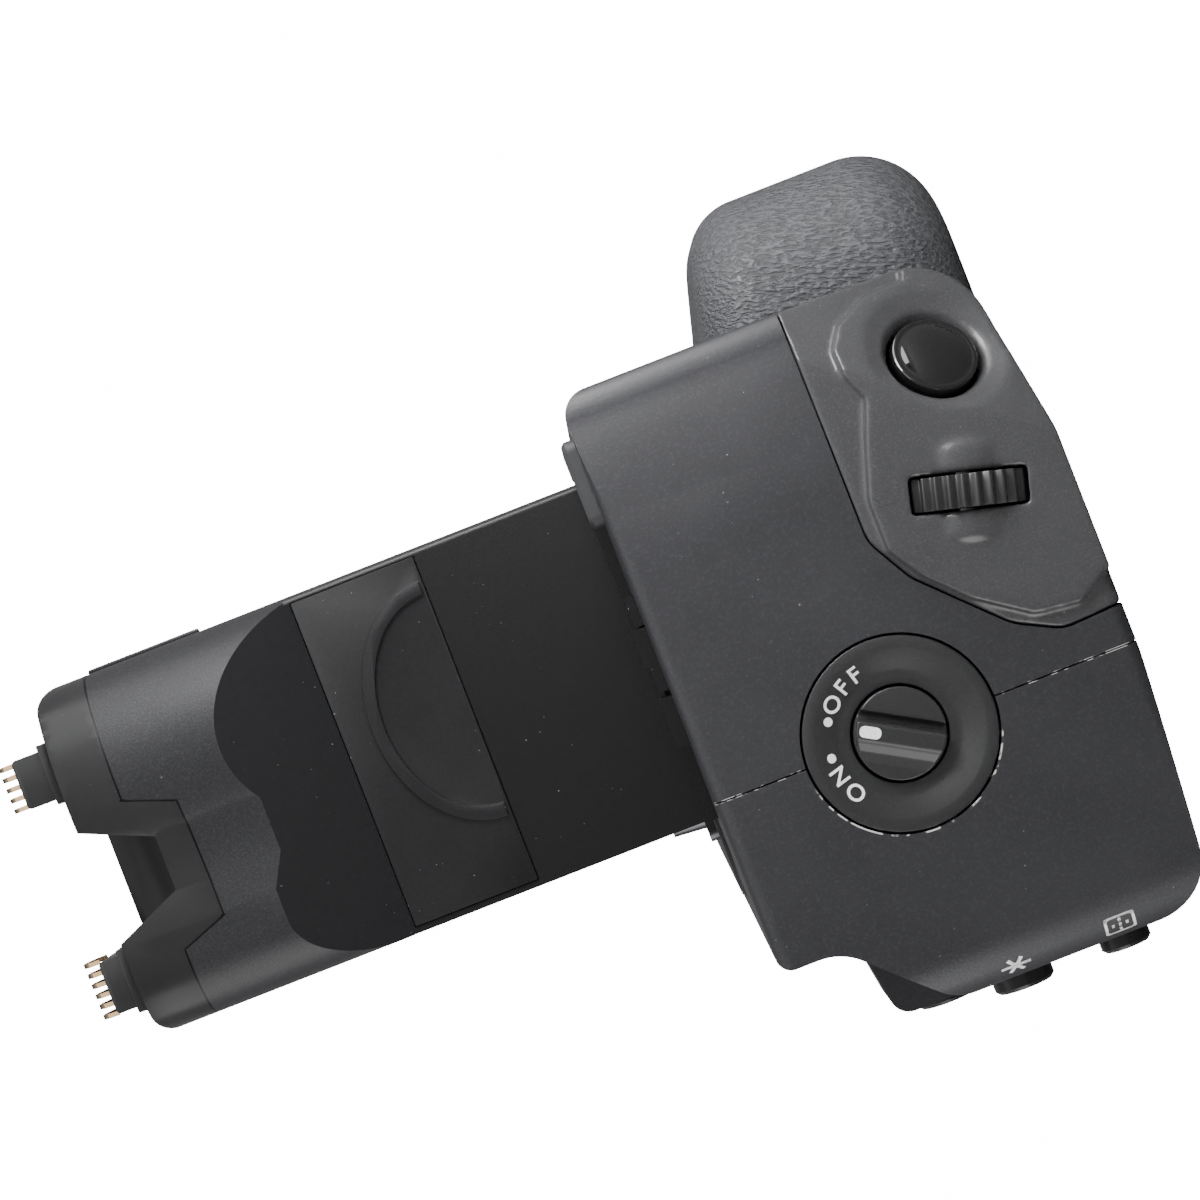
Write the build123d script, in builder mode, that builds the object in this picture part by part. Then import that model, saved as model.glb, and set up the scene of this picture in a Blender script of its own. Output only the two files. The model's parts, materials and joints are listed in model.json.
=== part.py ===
# Camera battery grip: body shells, controls, battery magazine and battery column.
# Row frame: +X to the controls end, +Y to the lens side, +Z up the battery column.
# The origin is the mouth of the tripod socket, on the base. All sizes in millimetres.
import os
from math import cos, pi, radians, sin, sqrt

from build123d import *

os.makedirs("parts", exist_ok=True)

# Battery magazine and its sleeve
tray_back_y = -29.5
tray_wide = 42.0
tray_far_x = 58.0
tray_low_z = 8.9
tray_high = 24.0
tray_wall = 1.6
bay_long = 57.8
front_wall = 2.4
divider = 1.2
tray_end = 1.6
door_thick = 3.2
door_gap = 0.3
sleeve_gap = 0.4
sleeve_wall = 1.3
sleeve_end_gap = 2.0
sleeve_seat = 0.1
contact_free = 0.6
door_corner = 2.0
finger_r = 9.0
lock_play = 0.1
lock_z = 20.9
lock_r = 7.0
lock_deep = 1.2
lock_gap = 0.3
lock_stem_r = 2.0
lock_bar = 1.6
lock_cam_long = 9.0
lock_cam_wide = 4.0
lock_cam_thick = 1.0
bay_contact_wide = 1.2
bay_contact_long = 0.7
bay_contact_high = 7.0
bay_contact_count = 3
bay_contact_pitch = 4.0
tray_front_y = tray_back_y + tray_wide

# Body envelope
end_x = 82.0
left_x = tray_far_x - tray_end - 2 * bay_long - divider - front_wall - door_thick
seat_z = 45.9
front_y = 30.7
front_room = 4.5
left_front_y = tray_front_y + front_room
back_y = -41.4
seat_back_y = -32.0
seam_y = -13.5
wall = 2.4
span = 400.0
over = 5.0

# Body profile seen from the controls end, and how far each corner is rounded
shoulder_top_z = 39.4
shoulder_low_z = 29.6
heel_z = 2.3
base_back_y = -14.0
base_front_y = 10.0
top_round = 3.0
seat_round = 1.6
shoulder_round = 6.0
heel_round = 6.8
toe_round = 8.0

# Plan outline of the deep right part
wedge_x = 14.0
wedge_back = 2.0
wedge_y = left_front_y - wedge_back
deep_back_y = -5.0
grip_x = 46.0
wedge_round = 15.0
end_front_round = 3.0
end_back_round = 6.0
left_front_round = 6.0
left_back_round = 8.0
side_round = 1.6

# Front grip bulge: plan outline with the rounding of its corners, and its edges
bulge_root = 2.4
bulge_outline = [
    (66.5, left_front_y - bulge_root),
    (66.5, 45.1),
    (36.0, 45.1),
    (8.0, 34.0),
    (-15.0, left_front_y - bulge_root),
]
bulge_rounds = [0.0, 13.0, 30.0, 30.0, 0.0]
bulge_root_z = 32.2
bulge_tip_z = 26.1
bulge_top_soft = 6.6
bulge_low_soft = 8.8
bulge_top_bevel = 3.2
bulge_low_bevel = 5.0
bulge_root_skip = 0.5
upright_share = 0.9
rubber_wall = 1.8

# Release housing on the front lower corner of the controls end
release_x = 66.0
release_outline = [
    (38.0, 22.0),
    (5.6, 22.0),
    (0.6, 19.2),
    (-7.4, 11.3),
    (-9.8, 6.6),
    (-9.2, -5.0),
    (38.0, -5.0),
]
release_rounds = [0.0, 4.0, 5.0, 6.0, 4.0, 0.0, 0.0]
release_wall = 2.2
release_seat = 2.0
release_gap = 0.12
slope_x = 78.9
slope_axis = (0.82, 0.45, -0.34)
slope_across = (0, -slope_axis[2], slope_axis[1])
island_rise = 0.9
island_outline = [
    (34.0, 8.0),
    (29.3, 8.3),
    (29.1, 13.0),
    (27.2, 16.6),
    (25.0, 18.1),
    (22.0, 18.1),
    (19.2, 16.9),
    (15.0, 18.5),
    (9.5, 20.3),
    (4.0, 20.3),
    (0.7, 18.2),
    (-3.3, 14.4),
    (-7.2, 8.8),
    (-7.8, 4.0),
    (-5.7, 0.7),
    (-5.7, -4.0),
    (34.0, -4.0),
]
bowl_r = 7.7
bowl_deep = 1.7
seam_gap = 0.08

# Shutter button
shutter_y = 20.9
shutter_z = 8.4
shutter_r = 4.5
shutter_gap = 0.35
shutter_dish_r = 5.7
shutter_dish = 0.8
shutter_rise = 0.9
shutter_dome = 0.6
shutter_flange_r = 5.2
shutter_flange = 0.9
shutter_play = 0.8
shutter_stem_r = 1.6
shutter_stem = 4.7
shutter_switch_side = 8.4
shutter_switch_deep = 2.6
shutter_nib = 0.6
shutter_taper = 46.0
switch_depth = 9.0
frame_x = 66.5
frame_thick = 1.4
frame_back = -2.0
frame_front = 24.0
frame_low = 6.0
frame_high = 19.5
frame_post = 9.0
frame_post_r = 2.2
frame_feet = [(0.5, 12.5), (22.0, 16.5)]
bracket_gap = 0.3

# Main dial
dial_y = 6.8
dial_z = 10.5
dial_r = 7.4
dial_wide = 3.4
dial_sink = 4.7
dial_tilt = 14.7
dial_ribs = 32
dial_rib_deep = 0.55
dial_rib_shares = (0.08, 0.42, 0.58, 0.92)
dial_pocket_r = 8.1
dial_pocket_wide = 3.9
hood_r = 6.3
hood_long = 10.7
hood_soft = 1.2
dial_shaft_r = 1.4
dial_shaft_long = 11.0
bearing_gap = 0.06
bracket_plate = 1.2
bracket_side = 7.0
bracket_reach = 2.0

# Power switch
switch_y = -13.6
switch_z = 25.8
switch_r = 10.0
switch_gap = 0.25
switch_flange_r = 11.4
switch_flange = 1.2
switch_sunk = 0.15
switch_rim_r = 8.7
switch_dish = 0.9
knob_r = 4.75
knob_gap = 0.3
knob_rise = 0.7
knob_bar_wide = 2.8
knob_bar_rise = 1.3
knob_bar_long = 4.3
knob_stem_r = 1.8
knob_deep = 2.6
rotary_side = 12.0
rotary_deep = 4.6
rotary_stem = 3.4
rotary_well = 1.4
switch_taper = 70.0
knob_soft = 0.4
off_angle = 30.0

# Back buttons: X, Z, radius
back_buttons = [
    ("exposure_lock_button", 71.0, 22.5, 3.25),
    ("focus_point_button", 71.0, 11.2, 2.7),
]
button_gap = 0.3
button_rise = 1.9
button_flange = 0.8
button_flange_wide = 0.9
button_play = 0.15
button_stem_side = 2.2
button_stem = 1.6
button_round = 0.4
button_travel = 0.7
board_thick = 1.6
board_posts = [(65.6, 17.6), (77.2, 17.6)]
board_post = 2.6
board_edge = 3.2
board_feet = [(-24.0, 20.0), (8.0, 12.0), (8.0, 30.0)]
board_low = 7.5
board_high = 28.5

# Focus-start button in its hump
hump_x = 50.0
hump_long = 15.0
hump_outline = [
    (-30.0, 38.4),
    (-37.0, 36.5),
    (-43.3, 35.5),
    (-43.3, 25.2),
    (-41.0, 22.8),
    (-30.0, 24.0),
]
hump_soft = 2.2
start_y = -43.3
start_z = 29.6
start_r = 3.4
start_rise = 1.1
start_sink = 7.35
start_ear_long = 8.6
start_ear_high = 4.0
start_stem = 1.1
start_switch_z = 29.6
start_switch_side = 8.0
start_switch_high = 5.0
start_switch_deep = 2.0

# Camera screw and its wheel
wheel_r = 19.4
wheel_low_z = 36.2
wheel_high = 6.0
wheel_gap = 0.5
wheel_tooth = 0.7
wheel_well = 1.8
wheel_ribs = 60
wheel_rim = 3.0
wheel_hub_r = 7.0
screw_r = 3.175
screw_body_r = 3.4
screw_long = 4.5
screw_tip = 0.6
screw_collar_r = 5.0
screw_collar = 0.8
washer_r = 6.5
screw_fit = 0.08
washer_free = 0.1

# Camera seat plate
plate_inset = 8.0
plate_left = left_x + plate_inset
plate_right = 44.0
plate_back = -27.0
plate_front = 12.0
plate_round = 6.0
plate_proud = 0.4
plate_edge = 0.15
plate_chamfer = 0.3
plate_lip = 1.0
plate_lip_thick = 0.8
plate_rib = 1.6
seat_pad_thick = 1.4

# Base plate and tripod bush
base_half_long = 30.0
base_plate_back = -12.4
base_plate_front = 9.0
base_plate_thick = 1.2
base_round = 3.0
bush_r = 6.0
bush_flange_r = 9.0
bush_flange = 1.4
bush_high = 6.6
socket_r = 3.0
socket_deep = 5.6

# Battery column
column_x0 = 50.0
column_front_y = 22.4
column_back_y = -16.0
lobe_x = 60.4
lobe_front_y = 9.8
lobe_front_high = 9.9
lobe_back_x = 63.5
lobe_back_y = -9.2
lobe_back_r = 6.7
lobe_back_flat = -5.8
valley_x = 69.05
valley_back_y = -2.2
column_round = 3.0
column_wall = 1.8
column_flat_x = 63.0
slope_low_z = 80.0
slope_high_z = 93.4
slope_far_x = 71.4
panel_low_z = 65.9
panel_thick = 0.9
panel_proud = 0.25
panel_edge = 0.8
panel_gap = 0.1
arc_wide = 1.4
arc_proud = 0.5
arc_y = 5.6
arc_z = 66.4
arc_r_y = 13.2
arc_r_z = 10.3
column_foot_high = 1.2
column_foot_edge = 1.0

# Column end cover, seen from the controls end
cover_seam = [
    (24.0, 103.1),
    (8.6, 103.1),
    (6.6, 97.8),
    (-6.3, 97.5),
    (-8.2, 102.6),
    (-18.0, 102.6),
]
cover_top_z = 108.7
cover_round = 2.4
cover_inner = 1.6
notch_y = 0.9
notch_floor_z = 101.4
notch_low_half = 3.0
notch_high_half = 6.2
notch_ramp = [
    (57.8, 101.8),
    (54.8, 102.6),
    (52.3, 104.3),
    (50.8, 106.4),
    (50.0, 108.6),
]
notch_ramp_side = 2.6
shelf_z = 95.6
shelf_thick = 1.6
shelf_edge = 0.9
shelf_room = 9.4
prong_x = 60.0
prong_half_x = 6.5
prong_hollows = [(14.2, 5.2), (-10.6, 3.2)]

# Contact blocks on the prongs: Y low, Y high, top Z, number of wires
block_x0 = 55.0
block_x1 = 66.0
block_foot = 1.4
block_foot_high = 1.2
block_step = 0.6
block_edge = 0.3
front_wire_count = 5
back_wire_count = 6
wire_steps = 5
contact_blocks = [
    ("front_contact", 10.6, 17.2, 113.2, front_wire_count),
    ("back_contact", -12.8, -5.8, 112.3, back_wire_count),
]
wire_wide = 0.5
wire_thick = 0.45
wire_rise = 2.2
wire_pitch = 1.15
wire_half = 3.4

# Small pieces on the seat
pad_back = 17.0
pad_front = 26.3
pad_left = 46.0
pad_bend_x = 72.5
pad_right = 79.5
pad_strip_back = 22.8
pad_round = 1.2
pad_soft = 0.4
foot_block_long = 5.0
foot_block_x = 74.5
foot_blocks = [
    (6.0, 9.2, 46.9),
    (1.8, 5.8, 47.4),
    (-1.1, 1.9, 47.0),
    (-7.1, -1.7, 47.3),
]
foot_base_thick = 0.6
foot_gap = 0.1
peg_x = 28.0
peg_y = -17.2
peg_low_r = 1.6
peg_top_r = 1.3
peg_top_z = 51.1
peg_flange_z = 47.3
peg_flange_long = 9.0
peg_flange_back = -20.3
peg_flange_front = -15.0
peg_ledge = 1.0
peg_ledge_thick = 1.0

# Back rubber pad, set into the back shell
back_pad_left = -4.0
back_pad_right = 60.0
back_pad_low = 9.0
back_pad_high = 22.4
back_pad_deep = 1.2
back_pad_round = 6.0
back_pad_proud = 0.15

# Inner pieces
main_board_x = 63.5
main_board_back = -27.0
main_board_front = 24.0
main_board_low = 6.0
main_board_high = 40.0
screw_inset = 20.0
screw_left = left_x + screw_inset
screw_right = 46.0
screw_places = [(screw_left, -9.5), (screw_left, 5.5), (screw_right, -9.5), (screw_right, 5.5)]
fix_head_r = 2.2
fix_head = 1.2
fix_shank_r = 1.1
fix_shank_sides = 6
fix_sunk = 0.3
boss_side = 5.2


def rounded_outline(outline, points, rounds, inset=0):
    """Draw a closed outline in the current sketch, round it and draw it in."""
    Polygon(*points, align=None)
    for point, size in zip(points, rounds):
        if size > 0:
            corner = outline.vertices().sort_by_distance(Vector(*point))[0]
            fillet(corner, radius=size)
    if inset > 0:
        offset(amount=-inset)


def profile_points(front):
    """Corners of the body profile for a given front face."""
    return [
        (front, seat_z),
        (seat_back_y, seat_z),
        (seat_back_y, shoulder_top_z),
        (back_y, shoulder_low_z),
        (back_y, heel_z),
        (base_back_y, 0),
        (base_front_y, 0),
        (front, heel_z),
    ]


profile_rounds = [
    top_round,
    seat_round,
    shoulder_round,
    shoulder_round,
    heel_round,
    0,
    0,
    toe_round,
]


def body_block(inset):
    """Outer form of the two shells, drawn in by the given amount."""
    with BuildPart() as block:
        with BuildSketch(Plane.YZ.offset(wedge_x + inset)) as deep:
            rounded_outline(
                deep,
                [
                    (front_y, seat_z),
                    (deep_back_y, seat_z),
                    (deep_back_y, 0),
                    (base_front_y, 0),
                    (front_y, heel_z),
                ],
                [top_round, 0, 0, 0, toe_round],
                inset,
            )
        extrude(amount=end_x - wedge_x - 2 * inset)
        with BuildSketch(Plane.XY) as wedge:
            rounded_outline(
                wedge,
                [
                    (end_x + over, back_y - over),
                    (end_x + over, front_y),
                    (grip_x, front_y),
                    (wedge_x - over, wedge_y - over * (front_y - wedge_y) / (grip_x - wedge_x)),
                    (wedge_x - over, back_y - over),
                ],
                [0, 0, wedge_round, 0, 0],
                inset,
            )
        extrude(amount=span, both=True, mode=Mode.INTERSECT)
        with BuildSketch(Plane.YZ.offset(left_x + inset)) as shallow:
            rounded_outline(shallow, profile_points(left_front_y), profile_rounds, inset)
        extrude(amount=end_x - left_x - 2 * inset)
        with BuildSketch(Plane.XY) as plan:
            rounded_outline(
                plan,
                [
                    (end_x, back_y),
                    (end_x, front_y),
                    (wedge_x, front_y),
                    (wedge_x, left_front_y),
                    (left_x, left_front_y),
                    (left_x, back_y),
                ],
                [end_back_round, end_front_round, 0, 0, left_front_round, left_back_round],
                inset,
            )
        extrude(amount=span, both=True, mode=Mode.INTERSECT)
        with BuildSketch(Plane.XZ) as side:
            rounded_outline(
                side,
                [(left_x, 0), (end_x, 0), (end_x, seat_z), (left_x, seat_z)],
                [side_round] * 4,
                inset,
            )
        extrude(amount=span, both=True, mode=Mode.INTERSECT)
    return block.part


def bulge_rim(block, low_z, high_z, inset):
    """Front edges of the bulge between two heights, without its upright ones."""
    root_y = bulge_outline[0][1] + inset + bulge_root_skip
    rim = block.edges().filter_by(lambda edge: abs(edge.tangent_at(0.5).Z) < upright_share)
    rim = rim.filter_by(lambda edge: edge.center().Y > root_y)
    return rim.filter_by(lambda edge: low_z < edge.center().Z < high_z)


def bulge_block(inset):
    """Front grip bulge: its plan raised, its top sloped and its edges rolled over."""
    root_y = bulge_outline[0][1]
    tip_y = bulge_outline[1][1]
    bevel_cut = (2 - sqrt(2)) * (inset - rubber_wall)
    with BuildPart() as block:
        with BuildSketch(Plane.XY.offset(inset)) as plan:
            rounded_outline(plan, bulge_outline, bulge_rounds, inset)
        extrude(amount=bulge_root_z)
        with BuildSketch(Plane.YZ.offset(end_x)):
            Polygon(
                (root_y, bulge_root_z - inset),
                (tip_y, bulge_tip_z - inset),
                (tip_y, span),
                (root_y, span),
                align=None,
            )
        extrude(amount=-span, mode=Mode.SUBTRACT)
        # The rubber's outer edges are rolled, the wall under it is bevelled
        if inset == 0:
            fillet(bulge_rim(block, -over, bulge_low_soft, inset), radius=bulge_low_soft)
            fillet(bulge_rim(block, bulge_tip_z - bulge_top_soft, span, inset), radius=bulge_top_soft)
        else:
            low = bulge_rim(block, -over, bulge_low_soft, inset)
            chamfer(low, length=bulge_low_bevel - bevel_cut)
            top = bulge_rim(block, bulge_tip_z - bulge_top_soft, span, inset)
            chamfer(top, length=bulge_top_bevel - bevel_cut)
    return block.part


outer = body_block(0)
inner = body_block(wall)
bulge_core = bulge_block(rubber_wall)
bulge_inner = bulge_block(rubber_wall + wall)

slope_plane = Plane(
    origin=(slope_x, shutter_y, shutter_z), x_dir=slope_across, z_dir=slope_axis
)
slope_line = Axis((slope_x, shutter_y, shutter_z), slope_axis)
dial_x = end_x - dial_sink
dial_axis = (0, cos(radians(dial_tilt)), -sin(radians(dial_tilt)))
dial_plane = Plane(origin=(dial_x, dial_y, dial_z), x_dir=(1, 0, 0), z_dir=dial_axis)

tray_mid_y = (tray_front_y + tray_back_y) / 2
tray_mid_z = tray_low_z + tray_high / 2
door_in_x = left_x + door_thick
sleeve_far_x = tray_far_x + sleeve_end_gap + sleeve_wall
door_size_y = tray_wide + 2 * (sleeve_gap + sleeve_wall)
door_size_z = tray_high + 2 * (sleeve_gap + sleeve_wall)
wheel_top_z = wheel_low_z + wheel_high
column_mid_y = (column_front_y + column_back_y) / 2
column_wide = column_front_y - column_back_y
start_plane = Plane(origin=(hump_x, start_y, start_z), x_dir=(1, 0, 0), z_dir=(0, -1, 0))

# Shells
release_points = list(reversed(release_outline))
release_sizes = list(reversed(release_rounds))


def shell_form(side):
    """One of the two body shells, with the openings that both share."""
    seam_shift = seam_gap if side == Keep.TOP else -seam_gap
    with BuildPart() as shell:
        add(outer)
        if side == Keep.BOTTOM:
            add(bulge_core)
        split(bisect_by=Plane.XZ.offset(-seam_y + seam_shift), keep=side)
        add(inner, mode=Mode.SUBTRACT)
        if side == Keep.BOTTOM:
            add(bulge_inner, mode=Mode.SUBTRACT)
        # Release housing corner
        with BuildSketch(Plane.YZ.offset(release_x)) as corner:
            rounded_outline(corner, release_points, release_sizes)
        extrude(amount=span, mode=Mode.SUBTRACT)
        # Power switch hole
        with BuildSketch(Plane.YZ.offset(end_x - wall - over)):
            with Locations((switch_y, switch_z)):
                Circle(switch_r + switch_gap)
        extrude(amount=span, mode=Mode.SUBTRACT)
        # Magazine door opening
        with BuildSketch(Plane.YZ.offset(left_x - over)):
            with Locations((tray_mid_y, tray_mid_z)):
                Rectangle(door_size_y + 2 * door_gap, door_size_z + 2 * door_gap)
        extrude(amount=over + wall * 2, mode=Mode.SUBTRACT)
        # Seat plate opening
        with BuildSketch(Plane.XY.offset(seat_z - wall * 2)):
            with Locations(((plate_left + plate_right) / 2, (plate_back + plate_front) / 2)):
                RectangleRounded(plate_right - plate_left, plate_front - plate_back, plate_round)
        extrude(amount=span, mode=Mode.SUBTRACT)
        # Passage into the column
        with BuildSketch(Plane.XY.offset(seat_z - wall * 2)):
            with Locations(((column_x0 + column_flat_x) / 2, column_mid_y)):
                RectangleRounded(
                    column_flat_x - column_x0 - 2 * column_round,
                    column_wide - shelf_room,
                    column_round / 2,
                )
        extrude(amount=span, mode=Mode.SUBTRACT)
    return shell.part


with BuildPart() as front_shell:
    add(shell_form(Keep.BOTTOM))
    # Slot for the wheel of the camera screw
    with BuildSketch(Plane.XY.offset(wheel_low_z - wheel_gap)):
        Circle(wheel_r + wheel_gap)
    extrude(amount=wheel_high + 2 * wheel_gap, mode=Mode.SUBTRACT)
    # Recess of the base plate and hole of the tripod bush
    with BuildSketch(Plane.XY):
        with Locations((0, (base_plate_back + base_plate_front) / 2)):
            RectangleRounded(
                2 * (base_half_long + plate_edge),
                base_plate_front - base_plate_back + 2 * plate_edge,
                base_round + plate_edge,
            )
    extrude(amount=base_plate_thick, mode=Mode.SUBTRACT)
    with BuildSketch(Plane.XY):
        Circle(bush_r + plate_edge)
    extrude(amount=wall + over, mode=Mode.SUBTRACT)
    # Holes of the sleeve screws
    with BuildSketch(Plane.XY):
        with Locations(*screw_places):
            Circle(fix_head_r + plate_edge)
    extrude(amount=fix_sunk + fix_head, mode=Mode.SUBTRACT)
    with BuildSketch(Plane.XY):
        with Locations(*screw_places):
            RegularPolygon(fix_shank_r + plate_edge, fix_shank_sides)
    extrude(amount=wall + over, mode=Mode.SUBTRACT)
front_shell.part.label = "front_shell"
export_step(front_shell.part, "parts/front_shell.step")

post_y = back_y + wall + button_play + button_flange + button_stem + button_travel + button_play
with BuildPart() as back_shell:
    add(shell_form(Keep.TOP))
    # Holes of the back buttons
    for name, button_x, button_z, button_r in back_buttons:
        with BuildSketch(Plane.XZ.offset(-back_y - wall - over)):
            with Locations((button_x, button_z)):
                Circle(button_r + button_gap)
        extrude(amount=wall + 2 * over, mode=Mode.SUBTRACT)
    # Hole of the start button
    with BuildSketch(start_plane.offset(-start_sink - over)):
        Circle(start_r + button_gap)
    extrude(amount=start_sink + 2 * over, mode=Mode.SUBTRACT)
    # Recess of the rubber pad
    with BuildSketch(Plane.XZ.offset(-back_y - back_pad_deep)):
        with Locations(((back_pad_left + back_pad_right) / 2, (back_pad_low + back_pad_high) / 2)):
            RectangleRounded(
                back_pad_right - back_pad_left,
                back_pad_high - back_pad_low,
                back_pad_round,
            )
    extrude(amount=span, mode=Mode.SUBTRACT)
    # Posts that carry the button board
    with BuildSketch(Plane.XZ.offset(-back_y - wall)):
        with Locations(*board_posts):
            Rectangle(board_post, board_post)
    extrude(amount=-(post_y - back_y - wall))
back_shell.part.label = "back_shell"
export_step(back_shell.part, "parts/back_shell.step")

# Rubber covers
with BuildPart() as front_grip:
    add(bulge_block(0))
    add(bulge_core, mode=Mode.SUBTRACT)
    add(outer, mode=Mode.SUBTRACT)
front_grip.part.label = "front_grip"
export_step(front_grip.part, "parts/front_grip.step")

with BuildPart() as back_pad:
    with BuildSketch(Plane.XZ.offset(-back_y - back_pad_deep)):
        with Locations(((back_pad_left + back_pad_right) / 2, (back_pad_low + back_pad_high) / 2)):
            RectangleRounded(
                back_pad_right - back_pad_left - 2 * plate_edge,
                back_pad_high - back_pad_low - 2 * plate_edge,
                back_pad_round - plate_edge,
            )
    extrude(amount=back_pad_deep + back_pad_proud)
    chamfer(back_pad.faces().sort_by(Axis.Y)[0].edges(), length=back_pad_proud)
back_pad.part.label = "back_pad"
export_step(back_pad.part, "parts/back_pad.step")


# Release housing with its sloped corner, button well and dial hood
with BuildPart() as corner_form:
    with BuildSketch(Plane.YZ.offset(release_x)) as corner:
        rounded_outline(corner, release_points, release_sizes)
    extrude(amount=release_seat)
    with BuildSketch(Plane.YZ.offset(release_x + release_seat)) as corner:
        rounded_outline(corner, release_points, release_sizes)
        offset(amount=-release_gap)
    extrude(amount=span)

body_forms = {0: outer, release_wall: body_block(release_wall)}


def corner_block(inset):
    """Lower front corner of the body, with the slope cut off it."""
    with BuildPart() as block:
        add(body_forms[inset])
        add(corner_form.part, mode=Mode.INTERSECT)
        split(bisect_by=slope_plane.offset(-inset), keep=Keep.BOTTOM)
    return block.part


with BuildPart() as island:
    with BuildSketch(Plane.YZ.offset(release_x)) as island_sketch:
        rounded_outline(
            island_sketch,
            [
                (front_y, seat_z),
                (deep_back_y * 2, seat_z),
                (deep_back_y * 2, 0),
                (base_front_y, 0),
                (front_y, heel_z),
            ],
            [0, 0, 0, 0, toe_round],
        )
    extrude(amount=end_x + island_rise - release_x)
    with BuildSketch(Plane.YZ.offset(release_x)):
        Polygon(*island_outline, align=None)
    extrude(amount=span, mode=Mode.INTERSECT)
    split(bisect_by=slope_plane.offset(island_rise), keep=Keep.BOTTOM)

with BuildPart() as bowl:
    bowl_ball = (bowl_r * bowl_r + bowl_deep * bowl_deep) / (2 * bowl_deep)
    with Locations(slope_plane.offset(island_rise - bowl_deep + bowl_ball)):
        Sphere(bowl_ball)

with BuildPart() as hood:
    with BuildSketch(dial_plane):
        Circle(hood_r)
    extrude(amount=hood_long / 2, both=True)
    fillet(hood.edges().filter_by(GeomType.CIRCLE), radius=hood_soft)
    split(bisect_by=Plane.YZ.offset(end_x - release_wall), keep=Keep.TOP)

with BuildPart() as release_housing:
    add(corner_block(0))
    add(island.part)
    add(bowl.part, mode=Mode.SUBTRACT)
    add(corner_block(release_wall), mode=Mode.SUBTRACT)
    add(hood.part)
    # Slot of the main dial
    with BuildSketch(dial_plane):
        Circle(dial_pocket_r)
    extrude(amount=dial_pocket_wide / 2, both=True, mode=Mode.SUBTRACT)
    # Well of the shutter button
    with BuildSketch(slope_plane.offset(-release_wall - over)):
        Circle(shutter_r + shutter_gap)
    extrude(amount=release_wall + 2 * over, mode=Mode.SUBTRACT)
    with BuildSketch(slope_plane):
        Circle(shutter_dish_r)
    extrude(amount=-shutter_dish, taper=shutter_taper, mode=Mode.SUBTRACT)
release_housing.part.label = "release_housing"
export_step(release_housing.part, "parts/release_housing.step")

# Frame that carries the shutter switch and the dial bearings
dial_inner = dial_pocket_wide / 2 + bracket_gap
with BuildPart() as release_frame:
    with BuildSketch(Plane.YZ.offset(frame_x)):
        with Locations(((frame_back + frame_front) / 2, (frame_low + frame_high) / 2)):
            Rectangle(frame_front - frame_back, frame_high - frame_low)
    extrude(amount=frame_thick)
    for side in (-1, 1):
        with BuildSketch(dial_plane.offset(side * (dial_inner + bracket_plate / 2))):
            with Locations(((frame_x + frame_thick / 2 - dial_x + bracket_reach) / 2, 0)):
                Rectangle(dial_x - frame_x - frame_thick / 2 + bracket_reach, bracket_side)
        extrude(amount=bracket_plate / 2, both=True)
    with BuildSketch(slope_plane.offset(-switch_depth)):
        Circle(frame_post_r)
    extrude(amount=-frame_post)
    split(bisect_by=Plane.YZ.offset(frame_x), keep=Keep.TOP)
    with BuildSketch(dial_plane):
        Circle(dial_shaft_r + bearing_gap)
    extrude(amount=dial_shaft_long, both=True, mode=Mode.SUBTRACT)
    with BuildSketch(dial_plane):
        Circle(dial_pocket_r)
    extrude(amount=dial_inner, both=True, mode=Mode.SUBTRACT)
    with BuildSketch(Plane.YZ.offset(main_board_x + board_thick)):
        with Locations(*frame_feet):
            Rectangle(board_post, board_post)
    extrude(amount=frame_x - main_board_x - board_thick)
release_frame.part.label = "release_frame"
export_step(release_frame.part, "parts/release_frame.step")

with BuildPart() as shutter_switch:
    with BuildSketch(slope_plane.offset(-switch_depth)):
        Rectangle(shutter_switch_side, shutter_switch_side)
    extrude(amount=shutter_switch_deep)
    with BuildSketch(slope_plane.offset(shutter_switch_deep - switch_depth)):
        Circle(shutter_stem_r)
    extrude(amount=shutter_nib)
shutter_switch.part.label = "shutter_switch"
export_step(shutter_switch.part, "parts/shutter_switch.step")

with BuildPart() as shutter_button:
    with BuildSketch(slope_plane.offset(-release_wall - shutter_play - shutter_flange)):
        Circle(shutter_r)
    extrude(amount=release_wall + shutter_play + shutter_flange + shutter_rise)
    chamfer(shutter_button.edges().sort_by(slope_line)[-1], length=shutter_dome)
    with BuildSketch(slope_plane.offset(-release_wall - shutter_play - shutter_flange)):
        Circle(shutter_flange_r)
    extrude(amount=shutter_flange)
    with BuildSketch(slope_plane.offset(-shutter_stem)):
        Circle(shutter_stem_r)
    extrude(amount=shutter_stem - release_wall - shutter_play)
shutter_button.part.label = "shutter_button"
export_step(shutter_button.part, "parts/shutter_button.step")

# Main dial
with BuildPart() as main_dial:
    with BuildSketch(dial_plane.offset(-dial_wide / 2)):
        Polygon(
            *[
                (
                    (dial_r - deep) * cos(2 * pi * (rib + share) / dial_ribs),
                    (dial_r - deep) * sin(2 * pi * (rib + share) / dial_ribs),
                )
                for rib in range(dial_ribs)
                for share, deep in zip(dial_rib_shares, (dial_rib_deep, 0, 0, dial_rib_deep))
            ],
            align=None,
        )
        Circle(dial_shaft_r, mode=Mode.SUBTRACT)
    extrude(amount=dial_wide)
main_dial.part.label = "main_dial"
export_step(main_dial.part, "parts/main_dial.step")

with BuildPart() as dial_shaft:
    with BuildSketch(dial_plane):
        Circle(dial_shaft_r)
    extrude(amount=dial_shaft_long / 2, both=True)
dial_shaft.part.label = "dial_shaft"
export_step(dial_shaft.part, "parts/dial_shaft.step")

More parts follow.
